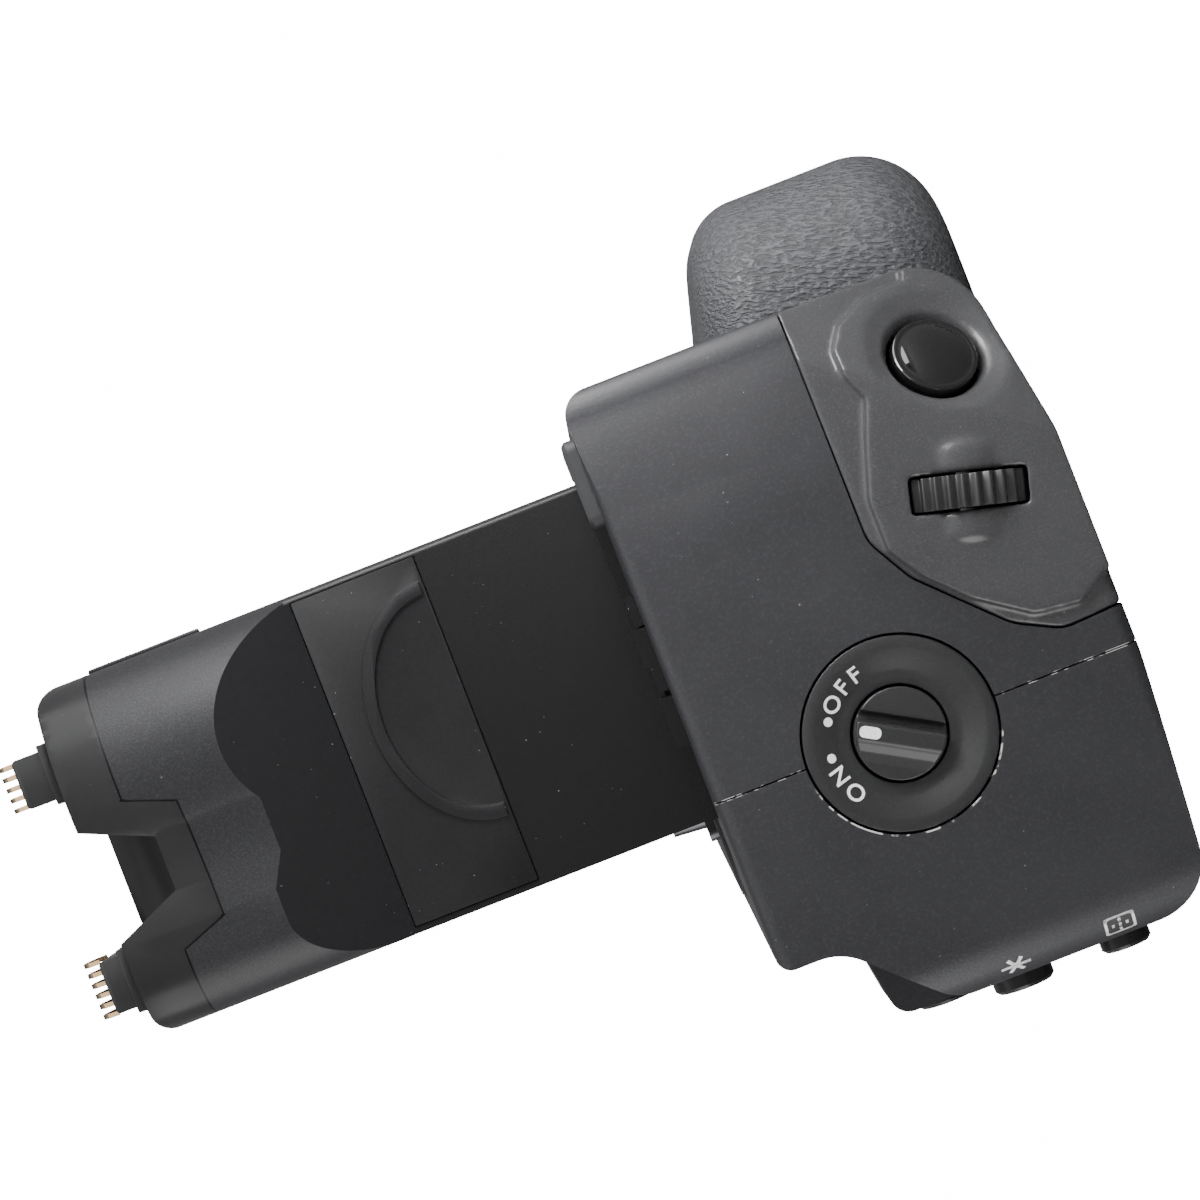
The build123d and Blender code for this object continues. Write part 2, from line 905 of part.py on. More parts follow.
# Power switch: ring plate, knob with its bar, switch behind
switch_face = end_x - switch_sunk
with BuildPart() as switch_plate:
    with BuildSketch(Plane.YZ.offset(end_x - wall)):
        with Locations((switch_y, switch_z)):
            Circle(switch_r)
    extrude(amount=wall - switch_sunk)
    with BuildSketch(Plane.YZ.offset(end_x - wall - switch_flange)):
        with Locations((switch_y, switch_z)):
            Circle(switch_flange_r)
    extrude(amount=switch_flange)
    with BuildSketch(Plane.YZ.offset(switch_face)):
        with Locations((switch_y, switch_z)):
            Circle(switch_rim_r)
    extrude(amount=-switch_dish, taper=switch_taper, mode=Mode.SUBTRACT)
    with BuildSketch(Plane.YZ.offset(end_x - wall - switch_flange)):
        with Locations((switch_y, switch_z)):
            Circle(knob_r + knob_gap)
    extrude(amount=span, mode=Mode.SUBTRACT)
switch_plate.part.label = "switch_plate"
export_step(switch_plate.part, "parts/switch_plate.step")

knob_plane = Plane(
    origin=(switch_face - switch_dish, switch_y, switch_z), x_dir=(0, 1, 0), z_dir=(1, 0, 0)
)
with BuildPart() as power_knob:
    with BuildSketch(knob_plane.offset(-knob_deep)):
        Circle(knob_r)
    extrude(amount=knob_deep + knob_rise)
    chamfer(power_knob.edges().sort_by(Axis.X)[-1], length=knob_soft)
    with BuildSketch(knob_plane.offset(knob_rise)):
        SlotOverall(2 * knob_bar_long, knob_bar_wide, rotation=90 - off_angle)
    extrude(amount=knob_bar_rise)
    with BuildSketch(knob_plane.offset(-knob_deep - rotary_stem)):
        Circle(knob_stem_r)
    extrude(amount=rotary_stem)
power_knob.part.label = "power_knob"
export_step(power_knob.part, "parts/power_knob.step")

rotary_face = end_x - wall - switch_flange
with BuildPart() as rotary_switch:
    with BuildSketch(Plane.YZ.offset(rotary_face)):
        with Locations((switch_y, switch_z)):
            Rectangle(2 * switch_flange_r, rotary_side)
    extrude(amount=-rotary_deep)
    with BuildSketch(Plane.YZ.offset(rotary_face)):
        with Locations((switch_y, switch_z)):
            Circle(knob_r + knob_gap)
    extrude(amount=-rotary_well, mode=Mode.SUBTRACT)
    with BuildSketch(Plane.YZ.offset(rotary_face)):
        with Locations((switch_y, switch_z)):
            Circle(knob_stem_r + bearing_gap)
    extrude(amount=-span, mode=Mode.SUBTRACT)
rotary_switch.part.label = "rotary_switch"
export_step(rotary_switch.part, "parts/rotary_switch.step")

# Back buttons with their board
for name, button_x, button_z, button_r in back_buttons:
    with BuildPart() as back_button:
        with BuildSketch(Plane.XZ.offset(-back_y - wall - button_play)):
            with Locations((button_x, button_z)):
                Circle(button_r)
        extrude(amount=wall + button_play + button_rise)
        chamfer(back_button.edges().sort_by(Axis.Y)[0], length=button_round)
        with BuildSketch(Plane.XZ.offset(-back_y - wall - button_play)):
            with Locations((button_x, button_z)):
                Circle(button_r + button_flange_wide)
        extrude(amount=-button_flange)
        with BuildSketch(Plane.XZ.offset(-back_y - wall - button_play - button_flange)):
            with Locations((button_x, button_z)):
                Rectangle(button_stem_side, button_stem_side)
        extrude(amount=-button_stem)
    back_button.part.label = name
    export_step(back_button.part, f"parts/{name}.step")

with BuildPart() as button_board:
    with BuildSketch(Plane.XZ.offset(-post_y)):
        with Locations(((board_posts[0][0] + board_posts[1][0]) / 2, (board_low + board_high) / 2)):
            Rectangle(board_posts[1][0] - board_posts[0][0] + board_edge, board_high - board_low)
    extrude(amount=-board_thick)
button_board.part.label = "button_board"
export_step(button_board.part, "parts/button_board.step")

# Start button in its hump on the back shoulder
hump_crest = (hump_x, *hump_outline[2])
with BuildPart() as start_hump:
    with BuildSketch(Plane.YZ.offset(hump_x - hump_long / 2)):
        Polygon(*hump_outline, align=None)
    extrude(amount=hump_long)
    add(outer, mode=Mode.SUBTRACT)
    fillet(start_hump.edges().filter_by(Axis.X).sort_by_distance(hump_crest)[0], radius=hump_soft)
    with BuildSketch(start_plane.offset(-start_sink)):
        Circle(start_r + button_gap)
    extrude(amount=start_sink + over, mode=Mode.SUBTRACT)
start_hump.part.label = "start_hump"
export_step(start_hump.part, "parts/start_hump.step")

with BuildPart() as start_button:
    with BuildSketch(start_plane.offset(-start_sink)):
        Circle(start_r)
    extrude(amount=start_sink + start_rise)
    chamfer(start_button.edges().sort_by(Axis.Y)[0], length=button_round)
    with BuildSketch(start_plane.offset(-start_sink)):
        Rectangle(start_ear_long, start_ear_high)
    extrude(amount=-button_flange)
    with BuildSketch(start_plane.offset(-start_sink - button_flange)):
        Rectangle(button_stem_side, button_stem_side)
    extrude(amount=-start_stem)
start_button.part.label = "start_button"
export_step(start_button.part, "parts/start_button.step")

# Magazine sleeve with its bosses, and the switch block of the start button
sleeve_low_z = tray_low_z - sleeve_gap - sleeve_wall
sleeve_back_y = tray_back_y - sleeve_gap - sleeve_wall
sleeve_left_x = door_in_x + sleeve_seat
with BuildPart() as sleeve:
    with BuildSketch(Plane.YZ.offset(sleeve_left_x)):
        with Locations((tray_mid_y, tray_mid_z)):
            Rectangle(door_size_y, door_size_z)
    extrude(amount=sleeve_far_x - sleeve_left_x)
    with BuildSketch(Plane.YZ.offset(sleeve_left_x)):
        with Locations((tray_mid_y, tray_mid_z)):
            Rectangle(tray_wide + 2 * sleeve_gap, tray_high + 2 * sleeve_gap)
    extrude(amount=sleeve_far_x - sleeve_wall - sleeve_left_x, mode=Mode.SUBTRACT)
    # Bosses on the inner face of the base
    with BuildSketch(Plane.XY.offset(wall)):
        with Locations(*screw_places):
            Rectangle(boss_side, boss_side)
            RegularPolygon(fix_shank_r, fix_shank_sides, mode=Mode.SUBTRACT)
    extrude(amount=sleeve_low_z - wall)
    # Posts to the main board
    with BuildSketch(Plane.YZ.offset(sleeve_far_x)):
        with Locations(*board_feet):
            Rectangle(board_post, board_post)
    extrude(amount=main_board_x - sleeve_far_x)
sleeve.part.label = "magazine_sleeve"
export_step(sleeve.part, "parts/magazine_sleeve.step")

with BuildPart() as sleeve_contacts:
    with BuildSketch(Plane.YZ.offset(sleeve_far_x - sleeve_wall)):
        with Locations((tray_mid_y, tray_mid_z)):
            with GridLocations(bay_contact_pitch, 0, bay_contact_count, 1):
                Rectangle(bay_contact_wide, bay_contact_high)
    extrude(amount=-sleeve_end_gap + contact_free)
sleeve_contacts.part.label = "chamber_contacts"
export_step(sleeve_contacts.part, "parts/chamber_contacts.step")

with BuildPart() as start_switch:
    with BuildSketch(Plane.XZ.offset(-sleeve_back_y)):
        with Locations((hump_x, start_switch_z)):
            Rectangle(start_switch_side, start_switch_high)
    extrude(amount=start_switch_deep)
start_switch.part.label = "start_switch"
export_step(start_switch.part, "parts/start_switch.step")

# Magazine: tray with two battery bays, door, contacts and lock key
bay_first_x = door_in_x + front_wall
bay_wide = tray_wide - 2 * tray_wall
with BuildPart() as tray:
    with BuildSketch(Plane.YZ.offset(door_in_x)):
        with Locations((tray_mid_y, tray_mid_z)):
            Rectangle(tray_wide, tray_high)
    extrude(amount=tray_far_x - door_in_x)
    for bay_x in (bay_first_x, bay_first_x + bay_long + divider):
        with BuildSketch(Plane.XY.offset(tray_low_z + tray_wall)):
            with Locations((bay_x + bay_long / 2, tray_mid_y)):
                Rectangle(bay_long, bay_wide)
        extrude(amount=tray_high, mode=Mode.SUBTRACT)
        # Finger hole under each battery
        with BuildSketch(Plane.XY.offset(tray_low_z)):
            with Locations((bay_x + bay_long / 2, tray_mid_y)):
                Circle(finger_r)
        extrude(amount=tray_wall, mode=Mode.SUBTRACT)
    # Well of the lock cam
    with BuildSketch(Plane.YZ.offset(door_in_x)):
        with Locations((tray_mid_y, lock_z)):
            Circle(lock_cam_long + lock_gap)
    extrude(amount=lock_cam_thick + 2 * lock_gap, mode=Mode.SUBTRACT)
tray.part.label = "magazine_tray"
export_step(tray.part, "parts/magazine_tray.step")

with BuildPart() as door:
    add(outer)
    with BuildSketch(Plane.YZ.offset(left_x - over)):
        with Locations((tray_mid_y, tray_mid_z)):
            RectangleRounded(door_size_y, door_size_z, door_corner)
    extrude(amount=over + door_thick, mode=Mode.INTERSECT)
    with BuildSketch(Plane.YZ.offset(left_x)):
        with Locations((tray_mid_y, lock_z)):
            Circle(lock_r + lock_gap)
    extrude(amount=lock_deep, mode=Mode.SUBTRACT)
    with BuildSketch(Plane.YZ.offset(left_x)):
        with Locations((tray_mid_y, lock_z)):
            Circle(lock_stem_r + bearing_gap)
    extrude(amount=door_thick + over, mode=Mode.SUBTRACT)
door.part.label = "magazine_door"
export_step(door.part, "parts/magazine_door.step")

with BuildPart() as tray_contacts:
    for wall_x in (bay_first_x + bay_long, bay_first_x + 2 * bay_long + divider):
        with BuildSketch(Plane.YZ.offset(wall_x)):
            with Locations((tray_mid_y, tray_mid_z)):
                with GridLocations(bay_contact_pitch, 0, bay_contact_count, 1):
                    Rectangle(bay_contact_wide, bay_contact_high)
        extrude(amount=-bay_contact_long)
tray_contacts.part.label = "bay_contacts"
export_step(tray_contacts.part, "parts/bay_contacts.step")

with BuildPart() as lock_key:
    with BuildSketch(Plane.YZ.offset(left_x + lock_deep - lock_play)):
        with Locations((tray_mid_y, lock_z)):
            Circle(lock_r)
    extrude(amount=lock_play - lock_deep)
    with BuildSketch(Plane.YZ.offset(left_x)):
        with Locations((tray_mid_y, lock_z)):
            SlotOverall(2 * (lock_r - lock_gap), lock_bar)
    extrude(amount=-lock_bar)
    with BuildSketch(Plane.YZ.offset(left_x + lock_deep - lock_play)):
        with Locations((tray_mid_y, lock_z)):
            Circle(lock_stem_r)
    extrude(amount=door_thick - lock_deep + lock_play + lock_gap)
lock_key.part.label = "lock_key"
export_step(lock_key.part, "parts/lock_key.step")

with BuildPart() as lock_cam:
    with BuildSketch(Plane.YZ.offset(door_in_x + lock_gap)):
        with Locations((tray_mid_y, lock_z)):
            Circle(lock_cam_wide)
        with Locations((tray_mid_y, lock_z + lock_cam_long / 2)):
            Rectangle(lock_cam_wide, lock_cam_long)
    extrude(amount=lock_cam_thick)
lock_cam.part.label = "lock_cam"
export_step(lock_cam.part, "parts/lock_cam.step")

# Camera screw, its wheel and the washer under it
with BuildPart() as thumbwheel:
    with BuildSketch(Plane.XY.offset(wheel_low_z)):
        Polygon(
            *[
                (
                    (wheel_r - wheel_tooth * (step % 2)) * cos(pi * step / wheel_ribs),
                    (wheel_r - wheel_tooth * (step % 2)) * sin(pi * step / wheel_ribs),
                )
                for step in range(2 * wheel_ribs)
            ],
            align=None,
        )
        Circle(screw_body_r, mode=Mode.SUBTRACT)
    extrude(amount=wheel_high)
    with BuildSketch(Plane.XY.offset(wheel_low_z)):
        Circle(wheel_r - wheel_rim)
        Circle(wheel_hub_r, mode=Mode.SUBTRACT)
    extrude(amount=wheel_well, mode=Mode.SUBTRACT)
thumbwheel.part.label = "thumbwheel"
export_step(thumbwheel.part, "parts/thumbwheel.step")

with BuildPart() as camera_screw:
    with BuildSketch(Plane.XY.offset(wheel_low_z)):
        Circle(screw_body_r)
    extrude(amount=seat_z + plate_proud - wheel_low_z)
    with BuildSketch(Plane.XY.offset(seat_z + plate_proud)):
        Circle(screw_r)
    extrude(amount=screw_long + screw_tip)
    chamfer(camera_screw.edges().sort_by(Axis.Z)[-1], length=screw_tip)
    with BuildSketch(Plane.XY.offset(wheel_top_z)):
        Circle(screw_collar_r)
    extrude(amount=screw_collar)
camera_screw.part.label = "camera_screw"
export_step(camera_screw.part, "parts/camera_screw.step")

with BuildPart() as screw_washer:
    with BuildSketch(Plane.XY.offset(sleeve_low_z + door_size_z)):
        Circle(washer_r)
        Circle(screw_r, mode=Mode.SUBTRACT)
    extrude(amount=wheel_low_z - washer_free - sleeve_low_z - door_size_z)
screw_washer.part.label = "screw_washer"
export_step(screw_washer.part, "parts/screw_washer.step")

# Camera seat plate
seat_mid = ((plate_left + plate_right) / 2, (plate_back + plate_front) / 2)
peg_mid = (peg_x, (peg_flange_back + peg_flange_front) / 2)
peg_flange_wide = peg_flange_front - peg_flange_back
with BuildPart() as seat_plate:
    with BuildSketch(Plane.XY.offset(seat_z - wall)):
        with Locations(seat_mid):
            RectangleRounded(
                plate_right - plate_left - 2 * plate_edge,
                plate_front - plate_back - 2 * plate_edge,
                plate_round - plate_edge,
            )
    extrude(amount=wall + plate_proud)
    chamfer(seat_plate.faces().sort_by(Axis.Z)[-1].edges(), length=plate_chamfer)
    with BuildSketch(Plane.XY.offset(seat_z - wall)):
        with Locations(seat_mid):
            Rectangle(
                plate_right - plate_left + 2 * plate_lip,
                plate_front - plate_back + 2 * plate_lip,
            )
    extrude(amount=-plate_lip_thick)
    with BuildSketch(Plane.XY.offset(seat_z - wall - plate_lip_thick)):
        with Locations(seat_mid):
            Rectangle(
                plate_right - plate_left - 2 * plate_rib,
                plate_front - plate_back - 2 * plate_rib,
            )
    extrude(amount=plate_lip_thick, mode=Mode.SUBTRACT)
    with BuildSketch(Plane.XY.offset(seat_z - wall - plate_lip_thick)):
        Circle(screw_body_r + screw_fit)
        with Locations(peg_mid):
            RectangleRounded(
                peg_flange_long + 2 * plate_edge,
                peg_flange_wide + 2 * plate_edge,
                pad_round + plate_edge,
            )
    extrude(amount=span, mode=Mode.SUBTRACT)
seat_plate.part.label = "seat_plate"
export_step(seat_plate.part, "parts/seat_plate.step")

with BuildPart() as seat_pad:
    with BuildSketch(Plane.XY.offset(seat_z)) as pad_sketch:
        Polygon(
            (pad_left, pad_strip_back),
            (pad_bend_x, pad_strip_back),
            (pad_bend_x, pad_back),
            (pad_right, pad_back),
            (pad_right, pad_front),
            (pad_left, pad_front),
            align=None,
        )
        fillet(pad_sketch.vertices(), radius=pad_round)
    extrude(amount=seat_pad_thick)
    chamfer(seat_pad.faces().sort_by(Axis.Z)[-1].edges(), length=pad_soft)
seat_pad.part.label = "seat_pad"
export_step(seat_pad.part, "parts/seat_pad.step")

with BuildPart() as locating_peg:
    with BuildSketch(Plane.XY.offset(seat_z - wall)):
        with Locations(peg_mid):
            RectangleRounded(peg_flange_long, peg_flange_wide, pad_round)
    extrude(amount=peg_flange_z - seat_z + wall)
    with BuildSketch(Plane.XY.offset(seat_z - wall)):
        with Locations(peg_mid):
            Rectangle(peg_flange_long + 2 * peg_ledge, peg_flange_wide + 2 * peg_ledge)
    extrude(amount=-peg_ledge_thick)
    with BuildSketch(Plane.XY.offset(peg_flange_z)):
        with Locations((peg_x, peg_y)):
            Circle(peg_low_r)
    with BuildSketch(Plane.XY.offset(peg_top_z)):
        with Locations((peg_x, peg_y)):
            Circle(peg_top_r)
    loft()
locating_peg.part.label = "locating_peg"
export_step(locating_peg.part, "parts/locating_peg.step")

# Base plate and tripod bush
with BuildPart() as base_plate:
    with BuildSketch(Plane.XY):
        with Locations((0, (base_plate_back + base_plate_front) / 2)):
            RectangleRounded(2 * base_half_long, base_plate_front - base_plate_back, base_round)
        Circle(bush_r, mode=Mode.SUBTRACT)
    extrude(amount=base_plate_thick)
base_plate.part.label = "base_plate"
export_step(base_plate.part, "parts/base_plate.step")

with BuildPart() as tripod_bush:
    with BuildSketch(Plane.XY):
        Circle(bush_r)
    extrude(amount=bush_high)
    with BuildSketch(Plane.XY.offset(wall)):
        Circle(bush_flange_r)
    extrude(amount=bush_flange)
    with BuildSketch(Plane.XY):
        Circle(socket_r)
    extrude(amount=socket_deep, mode=Mode.SUBTRACT)
tripod_bush.part.label = "tripod_bush"
export_step(tripod_bush.part, "parts/tripod_bush.step")

with BuildPart() as sleeve_screws:
    with BuildSketch(Plane.XY.offset(fix_sunk)):
        with Locations(*screw_places):
            Circle(fix_head_r)
    extrude(amount=fix_head)
    with BuildSketch(Plane.XY.offset(fix_sunk + fix_head)):
        with Locations(*screw_places):
            RegularPolygon(fix_shank_r, fix_shank_sides)
    extrude(amount=sleeve_low_z - fix_sunk - fix_head)
sleeve_screws.part.label = "sleeve_screws"
export_step(sleeve_screws.part, "parts/sleeve_screws.step")

with BuildPart() as main_board:
    with BuildSketch(Plane.YZ.offset(main_board_x)):
        with Locations(((main_board_back + main_board_front) / 2, (main_board_low + main_board_high) / 2)):
            Rectangle(main_board_front - main_board_back, main_board_high - main_board_low)
    extrude(amount=board_thick)
main_board.part.label = "main_board"
export_step(main_board.part, "parts/main_board.step")


# Battery column
def column_block(inset):
    """Outer form of the column, two lobes above a set-back flat, drawn in."""
    with BuildPart() as block:
        with BuildSketch(Plane.XY.offset(seat_z)) as outline:
            with Locations(((column_x0 + lobe_x) / 2, column_mid_y)):
                Rectangle(lobe_x - column_x0 - 2 * inset, column_wide - 2 * inset)
            fillet(outline.vertices().group_by(Axis.X)[0], radius=column_round)
            with Locations((lobe_x - inset, lobe_front_y)):
                Ellipse(lobe_front_high, column_front_y - lobe_front_y - inset)
            back_r = lobe_back_r - inset
            with Locations((lobe_back_x, lobe_back_y)):
                Circle(back_r)
            with Locations(((lobe_x + lobe_back_x) / 2 - inset, lobe_back_y - back_r / 2)):
                Rectangle(lobe_back_x - lobe_x + 2 * inset, back_r)
            # Flat crown of the back lobe, down to the valley floor
            Polygon(
                (lobe_x - 2 * inset, lobe_back_y),
                (lobe_back_x + back_r, lobe_back_y),
                (lobe_back_x + back_r, lobe_back_flat),
                (valley_x - inset, valley_back_y),
                (valley_x - inset, lobe_front_y),
                (lobe_x - 2 * inset, lobe_front_y),
                align=None,
            )
        extrude(amount=cover_top_z - seat_z - inset)
        with BuildSketch(Plane.XZ):
            Polygon(
                (column_flat_x - inset, seat_z - over),
                (span, seat_z - over),
                (span, slope_high_z),
                (slope_far_x - inset, slope_high_z),
                (column_flat_x - inset, slope_low_z),
                align=None,
            )
        extrude(amount=span, both=True, mode=Mode.SUBTRACT)
    return block.part


above_seam = [(cover_seam[-1][0], cover_top_z + over), (cover_seam[0][0], cover_top_z + over)]
with BuildPart() as column_body:
    add(column_block(0))
    add(column_block(column_wall), mode=Mode.SUBTRACT)
    with BuildSketch(Plane.YZ):
        Polygon(*reversed(cover_seam + above_seam), align=None)
    extrude(amount=span, mode=Mode.SUBTRACT)
    # Recess of the panel
    with BuildSketch(Plane.YZ.offset(column_flat_x - panel_thick)):
        with Locations((column_mid_y, (panel_low_z + slope_low_z) / 2)):
            Rectangle(
                column_wide - 2 * panel_edge,
                slope_low_z - panel_low_z,
            )
    extrude(amount=panel_thick, mode=Mode.SUBTRACT)
    # Inner shelf that carries the end cover
    with BuildSketch(Plane.XY.offset(shelf_z)):
        with Locations(((column_x0 + lobe_x) / 2, column_mid_y)):
            Rectangle(lobe_x - column_x0 - 2 * shelf_edge, column_wide - shelf_room)
    extrude(amount=shelf_thick)
column_body.part.label = "column_body"
export_step(column_body.part, "parts/column_body.step")

with BuildPart() as column_panel:
    with BuildSketch(Plane.YZ.offset(column_flat_x - panel_thick)):
        with Locations((column_mid_y, (panel_low_z + slope_low_z) / 2)):
            Rectangle(
                column_wide - 2 * panel_edge - 2 * panel_gap,
                slope_low_z - panel_low_z - 2 * panel_gap,
            )
    extrude(amount=panel_thick + panel_proud)
    # Arc rib
    with BuildSketch(Plane.YZ.offset(column_flat_x + panel_proud)):
        with Locations((arc_y, arc_z)):
            Ellipse(arc_r_y, arc_r_z)
            Ellipse(arc_r_y - arc_wide, arc_r_z - arc_wide, mode=Mode.SUBTRACT)
        with Locations((arc_y, arc_z - arc_r_z)):
            Rectangle(2 * arc_r_y, 2 * arc_r_z, mode=Mode.SUBTRACT)
    extrude(amount=arc_proud)
column_panel.part.label = "column_panel"
export_step(column_panel.part, "parts/column_panel.step")

with BuildPart() as column_foot:
    with BuildSketch(Plane.XY.offset(seat_z)):
        with Locations((column_flat_x + column_foot_edge / 2 + foot_gap, column_mid_y)):
            Rectangle(column_foot_edge, column_wide)
    extrude(amount=column_foot_high)
    with BuildSketch(Plane.XY.offset(seat_z)):
        for foot_low, foot_high, foot_top in foot_blocks:
            with Locations((foot_block_x, (foot_low + foot_high) / 2)):
                Rectangle(foot_block_long, foot_high - foot_low)
        with Locations((foot_block_x - foot_block_long / 2, (foot_blocks[0][1] + foot_blocks[-1][0]) / 2)):
            Rectangle(foot_block_long, foot_blocks[0][1] - foot_blocks[-1][0])
        with Locations(
            (
                (column_flat_x + foot_block_x) / 2,
                (foot_blocks[0][1] + foot_blocks[-1][0]) / 2,
            )
        ):
            Rectangle(foot_block_x - column_flat_x - 2 * foot_gap, foot_blocks[1][1] - foot_blocks[2][0])
    extrude(amount=foot_base_thick)
    for foot_low, foot_high, foot_top in foot_blocks:
        with BuildSketch(Plane.XY.offset(seat_z + foot_base_thick)):
            with Locations((foot_block_x, (foot_low + foot_high) / 2)):
                Rectangle(foot_block_long, foot_high - foot_low)
        extrude(amount=foot_top - seat_z - foot_base_thick)
column_foot.part.label = "column_foot"
export_step(column_foot.part, "parts/column_foot.step")

# End cover with its two prongs
with BuildPart() as end_cover:
    add(column_block(0))
    with BuildSketch(Plane.YZ) as tip:
        Polygon(
            *reversed(
                cover_seam
                + [
                    (column_back_y, cover_seam[-1][1]),
                    (column_back_y, cover_top_z),
                    (column_front_y, cover_top_z),
                    (column_front_y, cover_seam[0][1]),
                ]
            ),
            align=None,
        )
        for corner_y in (column_back_y, column_front_y):
            fillet(
                tip.vertices().sort_by_distance(Vector(corner_y, cover_top_z))[0],
                radius=cover_round,
            )
    extrude(amount=span, mode=Mode.INTERSECT)
    # Notch between the prongs, its floor ramping up at the back
    with BuildSketch(Plane.YZ):
        Polygon(
            (notch_y - notch_low_half, notch_floor_z),
            (notch_y + notch_low_half, notch_floor_z),
            (notch_y + notch_high_half, cover_top_z),
            (notch_y + notch_high_half, cover_top_z + over),
            (notch_y - notch_high_half, cover_top_z + over),
            (notch_y - notch_high_half, cover_top_z),
            align=None,
        )
    extrude(amount=span, mode=Mode.SUBTRACT)
    with BuildSketch(Plane.XZ.offset(-notch_y)):
        Polygon((lobe_x, notch_floor_z), *notch_ramp, (column_x0, notch_floor_z), align=None)
    extrude(amount=notch_low_half + notch_ramp_side, both=True)
    # Hollow under each prong
    for prong_y, prong_half in prong_hollows:
        with BuildSketch(Plane.XY.offset(shelf_z + shelf_thick)):
            with Locations((prong_x, prong_y)):
                RectangleRounded(2 * prong_half_x, 2 * prong_half, cover_inner)
        extrude(amount=cover_top_z - cover_inner - shelf_z - shelf_thick, mode=Mode.SUBTRACT)
end_cover.part.label = "end_cover"
export_step(end_cover.part, "parts/end_cover.step")

# Contact blocks on the prongs, each with its bent wires
for name, block_low, block_high, block_top, wires in contact_blocks:
    block_mid = (block_low + block_high) / 2
    block_x = (block_x0 + block_x1) / 2
    with BuildPart() as contact_block:
        with BuildSketch(Plane.XY.offset(cover_top_z)):
            with Locations((block_x, block_mid)):
                Rectangle(block_x1 - block_x0 + 2 * block_foot, block_high - block_low)
        extrude(amount=block_foot_high)
        with BuildSketch(Plane.XY.offset(cover_top_z)):
            with Locations((block_x, block_mid)):
                Rectangle(block_x1 - block_x0, block_high - block_low - 2 * block_step)
        extrude(amount=block_top - cover_top_z)
        chamfer(contact_block.faces().sort_by(Axis.Z)[-1].edges(), length=block_edge)
    contact_block.part.label = name + "_block"
    export_step(contact_block.part, f"parts/{name}_block.step")
    with BuildPart() as contact_wires:
        bend = [
            (cos(pi * step / wire_steps), sin(pi * step / wire_steps))
            for step in range(wire_steps + 1)
        ]
        outer_bend = [
            (block_x + wire_half * along, block_top + wire_rise * up)
            for along, up in bend
        ]
        inner_bend = [
            (block_x + (wire_half - wire_thick) * along, block_top + (wire_rise - wire_thick) * up)
            for along, up in reversed(bend)
        ]
        for wire in range(wires):
            wire_y = block_mid + (wire - (wires - 1) / 2) * wire_pitch
            with BuildSketch(Plane.XZ.offset(-wire_y)):
                Polygon(*outer_bend, *inner_bend, align=None)
            extrude(amount=wire_wide / 2, both=True)
    contact_wires.part.label = name + "_wires"
    export_step(contact_wires.part, f"parts/{name}_wires.step")
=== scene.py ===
import json
from math import cos, pi, radians, sin

import bmesh
import bpy
from mathutils import Matrix, Vector

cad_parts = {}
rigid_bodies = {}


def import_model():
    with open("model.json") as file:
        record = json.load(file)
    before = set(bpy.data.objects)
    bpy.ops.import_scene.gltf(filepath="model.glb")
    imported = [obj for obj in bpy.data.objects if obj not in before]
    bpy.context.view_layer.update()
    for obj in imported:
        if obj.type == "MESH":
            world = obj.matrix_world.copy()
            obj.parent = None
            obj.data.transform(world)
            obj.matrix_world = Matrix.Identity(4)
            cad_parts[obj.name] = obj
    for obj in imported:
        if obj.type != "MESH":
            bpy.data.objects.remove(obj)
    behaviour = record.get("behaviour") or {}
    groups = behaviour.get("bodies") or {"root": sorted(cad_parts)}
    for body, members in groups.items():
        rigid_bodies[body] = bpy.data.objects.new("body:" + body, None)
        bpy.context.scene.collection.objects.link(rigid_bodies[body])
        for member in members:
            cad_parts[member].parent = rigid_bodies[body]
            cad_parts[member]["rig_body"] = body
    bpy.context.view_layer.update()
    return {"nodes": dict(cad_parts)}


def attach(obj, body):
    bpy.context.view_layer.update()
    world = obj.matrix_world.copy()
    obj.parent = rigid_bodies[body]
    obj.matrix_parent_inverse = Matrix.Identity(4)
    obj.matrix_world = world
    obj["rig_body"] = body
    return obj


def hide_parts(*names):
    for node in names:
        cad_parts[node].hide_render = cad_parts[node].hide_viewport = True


bl_info = {
    "name": "Camera battery grip",
    "version": (1, 1, 0),
    "blender": (4, 5, 0),
    "location": "View3D > Sidebar > Battery grip",
    "description": "Finishes and details for a camera battery grip",
    "category": "Object",
}

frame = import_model()
nodes = frame["nodes"]

# Lengths below are in millimetres where MM scales them later, and else in metres
MM = 0.001
WELD = 0.001 * MM

# Camera at the photograph's angle, which looks along -X and is rolled about its view
CAMERA_PLACE = Vector((0.482, 0.010, 0.0492))
CAMERA_ACROSS = Vector((0, -0.3633, -0.9317))
CAMERA_UP = Vector((0, 0.9317, -0.3633))
CAMERA_OUT = Vector((1, 0, 0))
CAMERA_LENS = 118.8

# Light: what the camera sees as white paper, the fill, and the lamps
PAPER_GLOW = 16.0
STUDIO_FILL = 0.38
FLOOR_SIZE = 6
FLOOR_DROP = 0.0002
